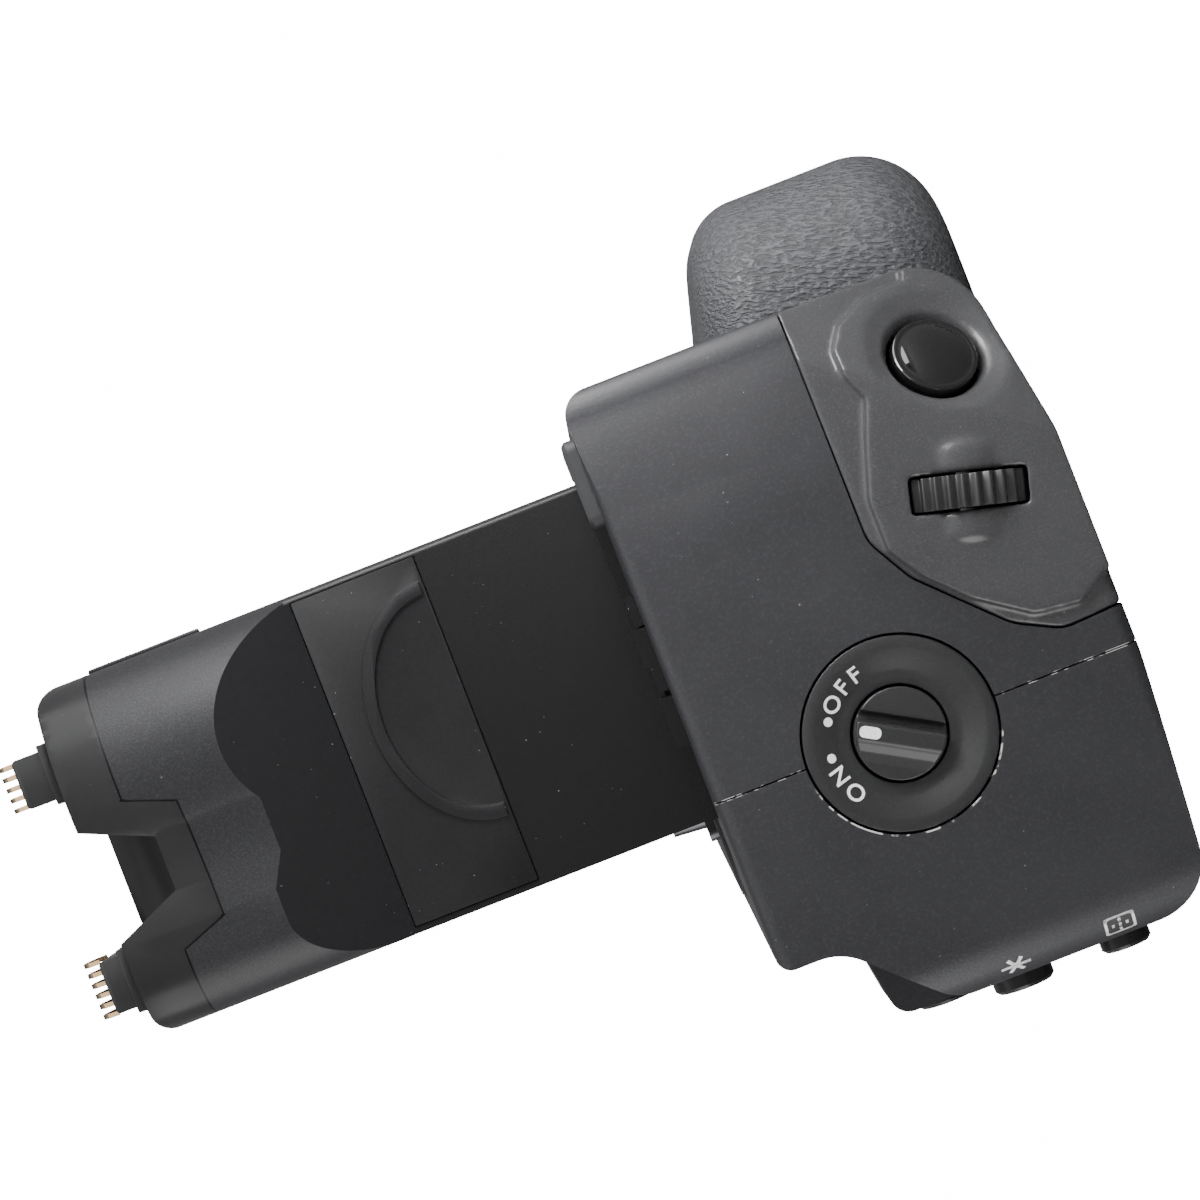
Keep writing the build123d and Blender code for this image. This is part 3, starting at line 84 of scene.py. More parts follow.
# Each lamp's name, place, width in metres, power in watts and the point that it is aimed at
LAMPS = (
    ("key", (0.140, 0.098, 0.062), 0.05, 0.20, (0.082, 0.015, 0.035)),
    ("front", (0.52, 0.30, 0.40), 0.5, 0.80, (0.05, 0.0, 0.05)),
    ("back", (-0.10, 0.50, 0.30), 0.5, 0.10, (0.0, 0.0, 0.05)),
    ("low", (0.20, -0.40, 0.05), 0.4, 2.30, (0.05, -0.03, 0.02)),
    ("left", (0.25, 0.10, 0.55), 0.4, 0.60, (0.05, 0.0, 0.05)),
    ("top", (0.20, 0.45, 0.10), 0.4, 0.05, (0.05, 0.0, 0.03)),
    ("glint", (0.150, 0.245, 0.055), 0.20, 0.70, (0.079, 0.021, 0.008)),
)

# Colours that no setting changes
DUST = (0.22, 0.22, 0.22, 1.0)
BARE_PLASTIC = (0.5, 0.49, 0.47, 1.0)
JOINT_BLACK = (0.001, 0.001, 0.001, 1.0)
LACQUER_BLACK = (0.003, 0.003, 0.003, 1.0)
BUTTON_BLACK = (0.008, 0.008, 0.009)
INNER_BLACK = (0.02, 0.02, 0.02)
PLATE_BLACK = (0.02, 0.02, 0.022)
SCREW_BLACK = (0.09, 0.09, 0.095)
STEEL = (0.58, 0.58, 0.59)
BOARD_GREEN = (0.012, 0.09, 0.04, 1.0)
TRACE_GREEN = (0.02, 0.15, 0.07, 1.0)
PAPER_GREYS = ((0.80, 0.80, 0.80, 1), (0.84, 0.84, 0.84, 1))
PAPER_IN_GLOSS = (0.12, 0.12, 0.12, 1)

# Shells: the seam between them and the wear of their end face
SEAM_Y = -13.5 * MM
WEAR_FROM_X = 79.5 * MM
WEAR_FULL_X = 80 * MM
FLECK_HALF = 0.1 * MM
FLECK_EDGE = 0.16 * MM

# Upright corners of the shells at the control end: node, centre of the round, its radius, its
# side of Y, the Y where the end face starts to fall away, and how far it falls
BACK_EDGE = Vector((76, -35.4, 0)) * MM
FRONT_EDGE = Vector((79, 27.7, 0)) * MM
SHELL_CORNERS = (
    ("back_shell", BACK_EDGE, 6, -1, -34, 0.05),
    ("front_shell", FRONT_EDGE, 3, 1, 11, 1.5),
)
CROWN_STEPS = 12
CORNER_STEPS = 16
CORNER_HALF = 60
CUT_MARGIN = 1

# Release corner: remeshing of the housing, and the shutter button
HOUSING_VOXEL = 0.243 * MM
HOUSING_ROUNDS = 20
SHUTTER = Vector((78.9, 20.9, 8.4)) * MM
SHUTTER_AXIS = Vector((0.82, 0.45, -0.34))
# Radius and height: the skirt, the bright rim, the fold inside it and the crowned cap
SHUTTER_PROFILE = (
    (4.5, -3.9), (4.5, -0.05),
    (4.44, 0.12), (4.32, 0.22), (4.15, 0.27), (3.98, 0.24),
    (3.88, 0.18), (3.78, 0.2),
    (3.5, 0.33), (3.1, 0.5), (2.6, 0.67), (2.0, 0.82), (1.4, 0.92), (0.8, 0.98), (0.25, 1.0),
)
DIAL_BEVEL = 0.16 * MM

# Power switch: the middle of its ring's face, with the dish, the knob and the print
SWITCH = Vector((81.85, -13.6, 25.8)) * MM
RING_WEAR_R = 10.26 * MM
DISH_TILT = radians(20)
DISH_FLOOR = 0.9 * MM
# Radius and height: outer wall, flat rim, dished face, floor, and the bore round the knob
RING_PROFILE = (
    (10, -2.25), (10, -0.16), (9.95, -0.05), (9.84, 0),
    (8.95, 0), (8.78, -0.02), (8.6, -0.06),
    (7.4, -0.47), (6.6, -0.76), (6.35, -0.84), (6.1, -0.88), (5.8, -0.9),
    (5.2, -0.9), (5.08, -0.94), (5.05, -1.02), (5.05, -2.25),
)
# Radius and height of the disc that the knob is cut from
KNOB_PROFILE = ((4.75, -2.6), (4.75, 0.72), (4.7, 0.88), (4.55, 0.98), (4.55, 2.3), (0.3, 2.3))
# Across and height: shoulder, groove, steep side of the bar, its top, and the soft slope
KNOB_SECTION = (
    (5, -2.7), (5, 0.7), (2.0, 0.95), (1.75, 0.88),
    (1.6, 0.5), (1.4, 0.16), (1.05, 0.1), (0.8, 0.3),
    (0.68, 1.6), (0.56, 1.88), (0.35, 1.98),
    (-1.0, 1.96), (-1.25, 1.86), (-1.6, 1.5), (-2.3, 1.05), (-3.4, 0.75), (-5, 0.6), (-5, -2.7),
)
KNOB_HALF = 5.2
KNOB_VOXEL = 0.09 * MM
BAR_TURN = radians(30)
MARK_SIZE = (1.2, 2.2, 0.06)
MARK_PLACE = (-0.36, 3.1, 1.97)
MARK_ROUND = 0.52 * MM
PRINT_R = 7.4 * MM
PRINT_DROP = 0.47 * MM
PRINT_LIFT = 0.025 * MM
LETTER_BOLD = 0.03 * MM
# Size of the built-in font over the height of its capitals
FONT_SHARE = 1.38
# Letters of the two words and the dots beside them, by their angle round the switch
SWITCH_LETTERS = (("O", 44), ("F", 59.5), ("F", 73), ("O", -32), ("N", -14))
SWITCH_DOTS = (30, 1)
DOT_R = 0.48 * MM

# Signs on the rounded back edge
SIGN_THICK = 0.1
SIGN_LIFT = 0.03 * MM
STAR_PLACE = Vector((79.97, -39.9, 23.3)) * MM
STAR_STROKE = 0.42
# Turn and length of each stroke
STAR_STROKES = ((0, 3.2), (55, 2.6), (-55, 2.6))
GRID_PLACE = Vector((80.05, -39.82, 11.94)) * MM
GRID_LINE = 0.3
GRID_HALF_WIDE = 1.3
GRID_HALF_HIGH = 1.5
GRID_WIDE = 2.5
GRID_HIGH = 2.6
GRID_POINT = 0.5
GRID_PITCH = 0.75
GRID_CORNER = (1.2, 1.4)
GRID_CORNER_LONG = 0.42

# Battery column: its flat, the slope up to the lobes, and its long edge
FLAT_X = 63
SLOPE_LOW_Z = 80
SLOPE_TOP_Z = 93.4
LOBE_X = 71.4
SKIN = 0.01 * MM
COLUMN_SIDE_Y = 22.4
COLUMN_ROUND = 0.8
COLUMN_STEPS = 8
COLUMN_EDGE_HALF = 18
COLUMN_EDGE_MIDDLE = 62.6
COLUMN_MARGIN = 0.5
RAIL_SIZE = (1.6, 12.6, 0.5)
RAIL_PLACE = Vector((58, 22.6, 96.7)) * MM
RAIL_BEVEL = 0.2 * MM
# Joint between the column and its end cover, as (y, z) corners from back to front
COVER_JOINT = ((-18, 102.6), (-8.2, 102.6), (-6.3, 97.5), (6.6, 97.8), (8.6, 103.1), (24, 103.1))
# On its steep stretches the joint is this much wider along Z
STEEP_SHARE = 2.8
JOINT_HALF = 0.07 * MM
JOINT_EDGE = 0.13 * MM
# Each node, the width of its bevels, their segments, its finish and its slot
COLUMN_BEVELS = (
    ("column_panel", 0.1, 2, "panel", "column_plastic"),
    ("end_cover", 0.45, 3, "cover", "cover_plastic"),
    ("front_contact_block", 0.18, 2, "block", "block_plastic"),
    ("back_contact_block", 0.18, 2, "block", "block_plastic"),
)
# Tops of the contact blocks, at the back and at the front, and the wires' dark tips above them
BACK_BLOCK_Z = 112.3
FRONT_BLOCK_Z = 113.2
TIP_FROM = 1.5
TIP_FULL = 1.8

# Which finish each solid of the frame gets
NODE_FINISHES = (
    ("shell", ("front_shell", "back_shell", "start_hump", "magazine_door")),
    ("housing", ("release_housing",)),
    ("rubber", ("front_grip", "back_pad")),
    ("pad", ("seat_pad",)),
    ("column", ("column_body", "column_foot")),
    ("panel", ("column_panel",)),
    ("cover", ("end_cover",)),
    ("block", ("front_contact_block", "back_contact_block")),
    ("control", ("switch_plate", "power_knob", "lock_key", "lock_cam")),
    ("dial", ("main_dial", "thumbwheel")),
    ("gloss", ("shutter_button",)),
    ("button", ("exposure_lock_button", "focus_point_button", "start_button")),
    ("wires", ("front_contact_wires", "back_contact_wires")),
    ("gold", ("bay_contacts", "chamber_contacts")),
    ("steel", ("dial_shaft", "camera_screw", "tripod_bush", "screw_washer")),
    ("screw", ("sleeve_screws", "locating_peg")),
    ("plate", ("seat_plate", "base_plate")),
    ("inner", ("magazine_sleeve", "release_frame", "magazine_tray", "shutter_switch",
               "rotary_switch", "start_switch")),
    ("board", ("button_board", "main_board")),
)

# Filled while the steps run: the finishes and the rounded shells, by name
finishes = {}
shells = {}


class GripColours(bpy.types.PropertyGroup):
    """Colours of the grip's finishes."""

    shell: bpy.props.FloatVectorProperty(
        name="Shell", description="Grained plastic of the shells", subtype="COLOR", size=3,
        min=0, max=1, default=(0.021, 0.021, 0.024))
    housing: bpy.props.FloatVectorProperty(
        name="Release housing", description="Smoother plastic round the release button",
        subtype="COLOR", size=3, min=0, max=1, default=(0.042, 0.042, 0.044))
    column: bpy.props.FloatVectorProperty(
        name="Column", description="Grained plastic of the battery column", subtype="COLOR",
        size=3, min=0, max=1, default=(0.020, 0.020, 0.022))
    cover: bpy.props.FloatVectorProperty(
        name="End cover", description="Smooth plastic of the column's end cover",
        subtype="COLOR", size=3, min=0, max=1, default=(0.021, 0.021, 0.022))
    rubber: bpy.props.FloatVectorProperty(
        name="Rubber", description="Wrinkled rubber of the grip", subtype="COLOR", size=3,
        min=0, max=1, default=(0.058, 0.059, 0.064))
    control: bpy.props.FloatVectorProperty(
        name="Controls", description="Satin black of the switch and dials", subtype="COLOR",
        size=3, min=0, max=1, default=(0.022, 0.022, 0.023))
    print_white: bpy.props.FloatVectorProperty(
        name="Print", description="White print on the controls", subtype="COLOR", size=3,
        min=0, max=1, default=(0.92, 0.92, 0.91))
    gold: bpy.props.FloatVectorProperty(
        name="Contacts", description="Gold of the contacts", subtype="COLOR", size=3,
        min=0, max=1, default=(0.86, 0.58, 0.30))


class GripSizes(bpy.types.PropertyGroup):
    """Sizes of the grip's small details."""

    grain: bpy.props.FloatProperty(
        name="Grain", description="Width of one grain of the shell's texture",
        subtype="DISTANCE", unit="LENGTH", min=0.00005, default=0.00030)
    wrinkle: bpy.props.FloatProperty(
        name="Wrinkle", description="Spacing of the rubber's wrinkles", subtype="DISTANCE",
        unit="LENGTH", min=0.0001, default=0.00040)
    letter: bpy.props.FloatProperty(
        name="Letter", description="Height of the switch lettering", subtype="DISTANCE",
        unit="LENGTH", min=0.0005, default=0.00180)
    print_thick: bpy.props.FloatProperty(
        name="Print thickness", description="How thick the print on the switch is",
        subtype="DISTANCE", unit="LENGTH", min=0.00001, default=0.00004)


def colours():
    return bpy.context.scene.grip_colours


def sizes():
    return bpy.context.scene.grip_sizes


# Materials
class Net:
    """A material's node tree, with short calls for the nodes that the finishes share."""

    def __init__(self, name):
        self.material = bpy.data.materials.new(name)
        self.material.use_nodes = True
        self.tree = self.material.node_tree
        self.shader = self.tree.nodes["Principled BSDF"]
        self.place = self.node("ShaderNodeTexCoord").outputs["Object"]

    def node(self, kind, **values):
        made = self.tree.nodes.new(kind)
        for key, value in values.items():
            setattr(made, key, value)
        return made

    def put(self, socket, value):
        if isinstance(value, bpy.types.NodeSocket):
            self.tree.links.new(value, socket)
        else:
            socket.default_value = value

    def noise(self, scale, detail=3, rough=0.5, stretch=None):
        made = self.node("ShaderNodeTexNoise")
        made.inputs["Scale"].default_value = scale
        made.inputs["Detail"].default_value = detail
        made.inputs["Roughness"].default_value = rough
        place = self.place
        if stretch:
            mapping = self.node("ShaderNodeMapping")
            mapping.inputs["Scale"].default_value = stretch
            self.put(mapping.inputs["Vector"], place)
            place = mapping.outputs["Vector"]
        self.put(made.inputs["Vector"], place)
        return made.outputs["Fac"]

    def math(self, kind, first, second=0.0):
        made = self.node("ShaderNodeMath", operation=kind)
        self.put(made.inputs[0], first)
        self.put(made.inputs[1], second)
        return made.outputs[0]

    def away(self, value, middle):
        """How far a value lies from a middle, either way."""
        return self.math("ABSOLUTE", self.math("SUBTRACT", value, middle))

    def span(self, value, low, high, to_low=0.0, to_high=1.0):
        made = self.node("ShaderNodeMapRange")
        for key, item in (("Value", value), ("From Min", low), ("From Max", high),
                          ("To Min", to_low), ("To Max", to_high)):
            self.put(made.inputs[key], item)
        return made.outputs["Result"]

    def stepped(self, share, spots, blend):
        """A value that follows (place, value) spots along a share from 0 to 1."""
        made = self.node("ShaderNodeValToRGB")
        ramp = made.color_ramp
        ramp.interpolation = blend
        for place, value in spots:
            ramp.elements.new(place).color = (value, value, value, 1)
        # A new ramp has a spot of its own at each end
        for spare in (0, -1):
            ramp.elements.remove(ramp.elements[spare])
        self.put(made.inputs[0], share)
        return made.outputs["Color"]

    def mix(self, share, first, second):
        made = self.node("ShaderNodeMix", data_type="RGBA")
        for key, item in (("Factor", share), ("A", first), ("B", second)):
            # The colour sockets come after the plain ones of the same name
            socket = [one for one in made.inputs if one.name == key and one.enabled][0]
            self.put(socket, item)
        return [one for one in made.outputs if one.enabled][0]

    def bump(self, height, distance, strength=1.0):
        made = self.node("ShaderNodeBump")
        made.inputs["Strength"].default_value = strength
        made.inputs["Distance"].default_value = distance
        self.put(made.inputs["Height"], height)
        return made.outputs["Normal"]

    def axes(self):
        split = self.node("ShaderNodeSeparateXYZ")
        self.put(split.inputs[0], self.place)
        return split.outputs

    def finish(self, colour, rough, normal=None, metal=0.0, specular=0.5):
        self.put(self.shader.inputs["Base Color"], colour)
        self.put(self.shader.inputs["Roughness"], rough)
        self.shader.inputs["Metallic"].default_value = metal
        self.put(self.shader.inputs["Specular IOR Level"], specular)
        if normal is not None:
            self.put(self.shader.inputs["Normal"], normal)
        return self.material


def shade(colour, share):
    """A colour with all its parts times one share, and full alpha."""
    return tuple(min(part * share, 1.0) for part in colour[:3]) + (1.0,)


def dusted(net, colour, amount):
    """Adds pale dust specks to a colour."""
    specks = net.span(net.noise(2400, 1, 0.5), 0.80 - amount, 0.83 - amount)
    patches = net.span(net.noise(45, 2), 0.44, 0.62)
    return net.mix(net.math("MULTIPLY", specks, patches), colour, DUST)


def worn_lines(net, colour):
    """Adds pale flecks along the shells' seam and round the lower side of the switch."""
    axes = net.axes()
    flat = net.node("ShaderNodeVectorMath", operation="MULTIPLY")
    net.put(flat.inputs[0], net.place)
    flat.inputs[1].default_value = (0, 1, 1)
    far = net.node("ShaderNodeVectorMath", operation="DISTANCE")
    net.put(far.inputs[0], flat.outputs[0])
    far.inputs[1].default_value = (0, SWITCH.y, SWITCH.z)
    ring = net.span(net.away(far.outputs["Value"], RING_WEAR_R), FLECK_HALF, FLECK_EDGE, 1, 0)
    low_side = net.span(axes["Y"], SWITCH.y - 4 * MM, SWITCH.y - 2 * MM, 1, 0)
    seam = net.span(net.away(axes["Y"], SEAM_Y), FLECK_HALF, FLECK_EDGE, 1, 0)
    lines = net.math("MAXIMUM", seam, net.math("MULTIPLY", ring, low_side))
    lines = net.math("MULTIPLY", lines, net.span(axes["X"], WEAR_FROM_X, WEAR_FULL_X))
    chips = net.span(net.noise(700, 2, 0.7), 0.52, 0.56)
    return net.mix(net.math("MULTIPLY", lines, chips), colour, BARE_PLASTIC)


def cover_joint(net, colour):
    """Darkens the stepped joint between the column and its end cover."""
    axes = net.axes()
    low_y, high_y = COVER_JOINT[0][0], COVER_JOINT[-1][0]
    low_z = min(z for y, z in COVER_JOINT)
    high_z = max(z for y, z in COVER_JOINT)
    along = net.span(axes["Y"], low_y * MM, high_y * MM)
    heights = [((y - low_y) / (high_y - low_y), (z - low_z) / (high_z - low_z)) for y, z in COVER_JOINT]
    steep = []
    for (y, z), (next_y, next_z) in zip(COVER_JOINT, COVER_JOINT[1:]):
        is_steep = abs(next_z - z) > next_y - y
        steep.append(((y - low_y) / (high_y - low_y), float(is_steep)))
    height = net.span(net.stepped(along, heights, "LINEAR"), 0, 1, low_z * MM, high_z * MM)
    far = net.away(axes["Z"], height)
    width = net.span(net.stepped(along, steep, "CONSTANT"), 0, 1, 1, STEEP_SHARE)
    share = net.span(net.math("DIVIDE", far, width), JOINT_HALF, JOINT_EDGE, 1, 0)
    return net.mix(share, colour, JOINT_BLACK)


def grained_plastic(name, colour, grain, depth, rough, dust=0.0, lines=False, specular=0.5):
    """Moulded plastic with a fine spark-eroded grain."""
    net = Net(name)
    fine = net.noise(1 / grain, 2, 0.6)
    broad = net.noise(70, 3)
    tone = net.mix(net.span(broad, 0.3, 0.7), shade(colour, 0.92), shade(colour, 1.08))
    tone = net.mix(net.span(fine, 0.5, 0.75), tone, shade(colour, 1.5))
    if dust > 0:
        tone = dusted(net, tone, dust)
    if lines:
        tone = worn_lines(net, tone)
    roughness = net.span(broad, 0.3, 0.7, rough - 0.03, rough + 0.04)
    return net.finish(tone, roughness, net.bump(fine, depth, 0.8), specular=specular)


def smooth_plastic(name, colour, rough, dust=0.0, specular=0.5, joint=False):
    """Smooth plastic with a faint ripple and the odd speck."""
    net = Net(name)
    broad = net.noise(120, 3)
    ripple = net.noise(5200, 2)
    tone = net.mix(net.span(broad, 0.3, 0.7), shade(colour, 0.9), shade(colour, 1.12))
    if dust > 0:
        tone = dusted(net, tone, dust)
    if joint:
        tone = cover_joint(net, tone)
    roughness = net.span(broad, 0.3, 0.7, rough - 0.02, rough + 0.03)
    return net.finish(tone, roughness, net.bump(ripple, 0.01 * MM, 0.6), specular=specular)


def column_plastic(name, colour, grain):
    """Grained lobes, with painted shade darkening the flat and the slope below them; the slope is also
    matt.
    """
    net = Net(name)
    axes = net.axes()
    fine = net.noise(1 / grain, 2, 0.6)
    low_z = SLOPE_LOW_Z * MM
    flat = net.span(axes["X"], FLAT_X * MM - 3 * SKIN, FLAT_X * MM - SKIN)
    flat = net.math("MULTIPLY", flat, net.span(axes["Z"], low_z - SKIN, low_z + SKIN, 1, 0))
    plane_x = net.span(axes["Z"], low_z, SLOPE_TOP_Z * MM, FLAT_X * MM, LOBE_X * MM)
    slope = net.span(net.math("SUBTRACT", axes["X"], plane_x), -4 * SKIN, -2 * SKIN)
    slope = net.math("MULTIPLY", slope, net.span(axes["Z"], low_z - SKIN, low_z + SKIN))
    tone = net.mix(net.span(fine, 0.45, 0.75), shade(colour, 0.9), shade(colour, 1.6))
    # Painted shade: the flat and the slope get darkened copies of the column's colour, while the slope's
    # matt roughness is its own
    tone = net.mix(flat, tone, shade(colour, 0.3))
    tone = net.mix(slope, tone, shade(colour, 0.55))
    tone = cover_joint(net, dusted(net, tone, 0.02))
    rough = net.span(slope, 0, 1, 0.44, 0.85)
    gloss = net.span(slope, 0, 1, 0.32, 0.15)
    return net.finish(tone, rough, net.bump(fine, 0.02 * MM, 0.8), specular=gloss)


def wrinkled_rubber(name, colour, spacing):
    """Rubber with short wrinkles running from the base upwards."""
    net = Net(name)
    tilt = net.node("ShaderNodeVectorRotate", rotation_type="X_AXIS")
    net.put(tilt.inputs["Vector"], net.place)
    tilt.inputs["Angle"].default_value = radians(21)
    net.place = tilt.outputs["Vector"]
    wrinkle = net.noise(1 / spacing, 2, 0.55, stretch=(1.0, 1.0, 0.34))
    ridge = net.span(wrinkle, 0.38, 0.62)
    tone = net.mix(ridge, shade(colour, 0.7), shade(colour, 1.2))
    return net.finish(tone, net.span(ridge, 0, 1, 0.65, 0.5), net.bump(ridge, 0.16 * MM, 1.0))


def lacquer(name, colour):
    """Deep black lacquer with a clear coat."""
    net = Net(name)
    tone = net.mix(net.noise(200, 2), colour, shade(colour, 1.4))
    net.shader.inputs["IOR"].default_value = 1.6
    net.shader.inputs["Coat Weight"].default_value = 1.0
    return net.finish(tone, 0.03)


def brushed_metal(name, colour, rough):
    """Metal with fine brushing and small changes of gloss."""
    net = Net(name)
    brush = net.noise(900, 3, 0.6, stretch=(1.0, 1.0, 0.12))
    tone = net.mix(net.span(brush, 0.3, 0.7), shade(colour, 0.85), shade(colour, 1.06))
    roughness = net.span(brush, 0.3, 0.7, rough - 0.05, rough + 0.08)
    return net.finish(tone, roughness, net.bump(brush, 0.012 * MM, 0.5), metal=1.0)


def wire_gold(name, colour):
    """Bright gold below, darker at the hooked tips."""
    net = Net(name)
    axes = net.axes()
    block_top = net.span(axes["Y"], 0, 1 * MM, BACK_BLOCK_Z * MM, FRONT_BLOCK_Z * MM)
    above = net.math("SUBTRACT", axes["Z"], block_top)
    brush = net.noise(900, 3, 0.6)
    tone = net.mix(net.span(brush, 0.3, 0.7), shade(colour, 0.85), shade(colour, 1.05))
    tone = net.mix(net.span(above, TIP_FROM * MM, TIP_FULL * MM), tone, shade(colour, 0.12))
    return net.finish(tone, 0.25, metal=1.0)


def screen_print(name, colour):
    """Screen print, slightly uneven."""
    net = Net(name)
    worn = net.span(net.noise(4200, 2), 0.35, 0.6)
    return net.finish(net.mix(worn, shade(colour, 0.85), shade(colour, 1.0)), 0.5)


def circuit(name):
    """Green board with lighter traces."""
    net = Net(name)
    traces = net.span(net.noise(700, 1), 0.48, 0.52)
    tone = net.mix(traces, BOARD_GREEN, TRACE_GREEN)
    return net.finish(tone, 0.35, net.bump(traces, 0.03 * MM, 0.5))


def floor_paper(name):
    """Pale paper that the camera sees as white and glossy plastic sees as dark."""
    net = Net(name)
    tone = net.mix(net.span(net.noise(30, 2), 0.4, 0.6), *PAPER_GREYS)
    paper = net.finish(tone, 0.9)
    glow = net.node("ShaderNodeEmission")
    glow.inputs["Strength"].default_value = PAPER_GLOW
    path = net.node("ShaderNodeLightPath").outputs
    net.put(net.shader.inputs["Base Color"], net.mix(path["Is Glossy Ray"], tone, PAPER_IN_GLOSS))
    blend = net.node("ShaderNodeMixShader")
    net.put(blend.inputs[0], path["Is Camera Ray"])
    net.put(blend.inputs[1], net.shader.outputs[0])
    net.put(blend.inputs[2], glow.outputs[0])
    net.put(net.tree.nodes["Material Output"].inputs["Surface"], blend.outputs[0])
    return paper


# Modelling helpers
def only(*objs):
    """Selects just these objects, and none where none is given."""
    if bpy.context.object and bpy.context.object.mode != "OBJECT":
        bpy.ops.object.mode_set(mode="OBJECT")
    bpy.ops.object.select_all(action="DESELECT")
    for obj in objs:
        obj.select_set(True)
    if objs:
        bpy.context.view_layer.objects.active = objs[0]


def edit(obj):
    """Opens a mesh for editing with all of it selected."""
    only(obj)
    bpy.ops.object.mode_set(mode="EDIT")
    bpy.ops.mesh.select_mode(type="VERT")
    bpy.ops.mesh.select_all(action="SELECT")


def modified(obj, kind, **values):
    """Adds one modifier and applies it."""
    only(obj)
    bpy.ops.object.modifier_add(type=kind)
    modifier = obj.modifiers[-1]
    for key, value in values.items():
        setattr(modifier, key, value)
    bpy.ops.object.modifier_apply(modifier=modifier.name)


def smooth(obj, angle=30):
    only(obj)
    bpy.ops.object.shade_smooth_by_angle(angle=radians(angle))


def apply_place(obj):
    """Moves an object's place into its mesh."""
    only(obj)
    bpy.ops.object.transform_apply(location=True, rotation=True, scale=True)


def settle(obj, finish, body):
    """Applies the piece's place, gives it its finish and puts it on its body."""
    apply_place(obj)
    obj.data.materials.clear()
    obj.data.materials.append(finishes[finish])
    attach(obj, body)
    return obj


def joined(name, objs):
    """Joins pieces of one print under one name."""
    only(*objs)
    bpy.ops.object.join()
    piece = bpy.context.object
    piece.name = name
    return piece


def copied(node):
    """A merged copy of a solid of the frame, to model on."""
    piece = bpy.data.objects.new(node + "_form", nodes[node].data.copy())
    bpy.context.scene.collection.objects.link(piece)
    edit(piece)
    bpy.ops.mesh.customdata_custom_splitnormals_clear()
    bpy.ops.mesh.remove_doubles(threshold=2 * WELD)
    bpy.ops.mesh.normals_make_consistent(inside=False)
    bpy.ops.object.mode_set(mode="OBJECT")
    return piece


def stand_in(piece, node, finish):
    """Puts a finished piece in a node's place."""
    settle(piece, finish, nodes[node]["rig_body"])
    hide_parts(node)
    return piece


def softened(node, voxel, rounds, finish):
    """Replaces a node with a finely meshed copy whose edges are worn soft."""
    piece = copied(node)
    modified(piece, "REMESH", mode="VOXEL", voxel_size=voxel, use_smooth_shade=True)
    modified(piece, "SMOOTH", factor=0.5, iterations=rounds)
    if not piece.data.polygons:
        raise RuntimeError(f"the remesh of {node} came out empty")
    return stand_in(piece, node, finish)


def bevelled(node, width, segments, sharp, finish):
    """Replaces a node with a copy whose edges sharper than an angle are rounded."""
    piece = copied(node)
    edit(piece)
    bpy.ops.mesh.dissolve_limited(angle_limit=radians(0.5))
    bpy.ops.mesh.select_mode(type="EDGE")
    bpy.ops.mesh.select_all(action="DESELECT")
    bpy.ops.mesh.edges_select_sharp(sharpness=radians(sharp))
    bpy.ops.mesh.bevel(offset=width, segments=segments, affect="EDGES", clamp_overlap=True)
    bpy.ops.object.mode_set(mode="OBJECT")
    smooth(piece, 35)
    return stand_in(piece, node, finish)


def closed_up():
    """Welds and caps the mesh that is open for editing, and turns its faces outwards."""
    bpy.ops.mesh.select_all(action="SELECT")
    bpy.ops.mesh.remove_doubles(threshold=WELD)
    bpy.ops.mesh.fill_holes(sides=0)
    bpy.ops.mesh.select_all(action="SELECT")
    bpy.ops.mesh.normals_make_consistent(inside=False)
    bpy.ops.object.mode_set(mode="OBJECT")


def turned(name, profile, steps, closed=False):
    """A round piece about Z from (radius, height) steps in millimetres."""
    only()
    radius, height = profile[0]
    bpy.ops.mesh.primitive_circle_add(vertices=steps, radius=radius * MM, location=(0, 0, height * MM))
    piece = bpy.context.object
    piece.name = name
    apply_place(piece)
    edit(piece)
    for next_radius, next_height in profile[1:] + (profile[:1] if closed else ()):
        bpy.ops.mesh.extrude_region_move(
            TRANSFORM_OT_translate={"value": (0, 0, (next_height - height) * MM)})
        share = next_radius / radius
        bpy.ops.transform.resize(value=(share, share, 1), center_override=(0, 0, next_height * MM))
        radius, height = next_radius, next_height
    closed_up()
    return piece


def profiled(name, section, half):
    """A bar along Y whose section runs through (x, z) steps in millimetres."""
    only()
    bpy.ops.mesh.primitive_plane_add(size=2)
    piece = bpy.context.object
    piece.name = name
    edit(piece)
    bpy.ops.mesh.select_all(action="DESELECT")
    net = bmesh.from_edit_mesh(piece.data)
    for vert in net.verts:
        vert.select_set(vert.co.x > 0)
    bmesh.update_edit_mesh(piece.data)
    # One edge of the plane is left, to be drawn along the section
    bpy.ops.mesh.delete(type="VERT")
    bpy.ops.mesh.select_all(action="SELECT")
    bpy.ops.transform.resize(value=(1, half * MM, 1), center_override=(0, 0, 0))
    across, height = section[0]
    bpy.ops.transform.translate(value=(across * MM + 1, 0, height * MM))
    for next_across, next_height in section[1:] + section[:1]:
        step = ((next_across - across) * MM, 0, (next_height - height) * MM)
        bpy.ops.mesh.extrude_region_move(TRANSFORM_OT_translate={"value": step})
        across, height = next_across, next_height
    closed_up()
    return piece


def quarter_round(centre_x, centre_y, across, along, steps):
    """Points of a quarter round from +X towards Y, after its first one."""
    turns = [pi / 2 * step / steps for step in range(1, steps + 1)]
    return [(centre_x + across * cos(turn), centre_y + along * sin(turn)) for turn in turns]


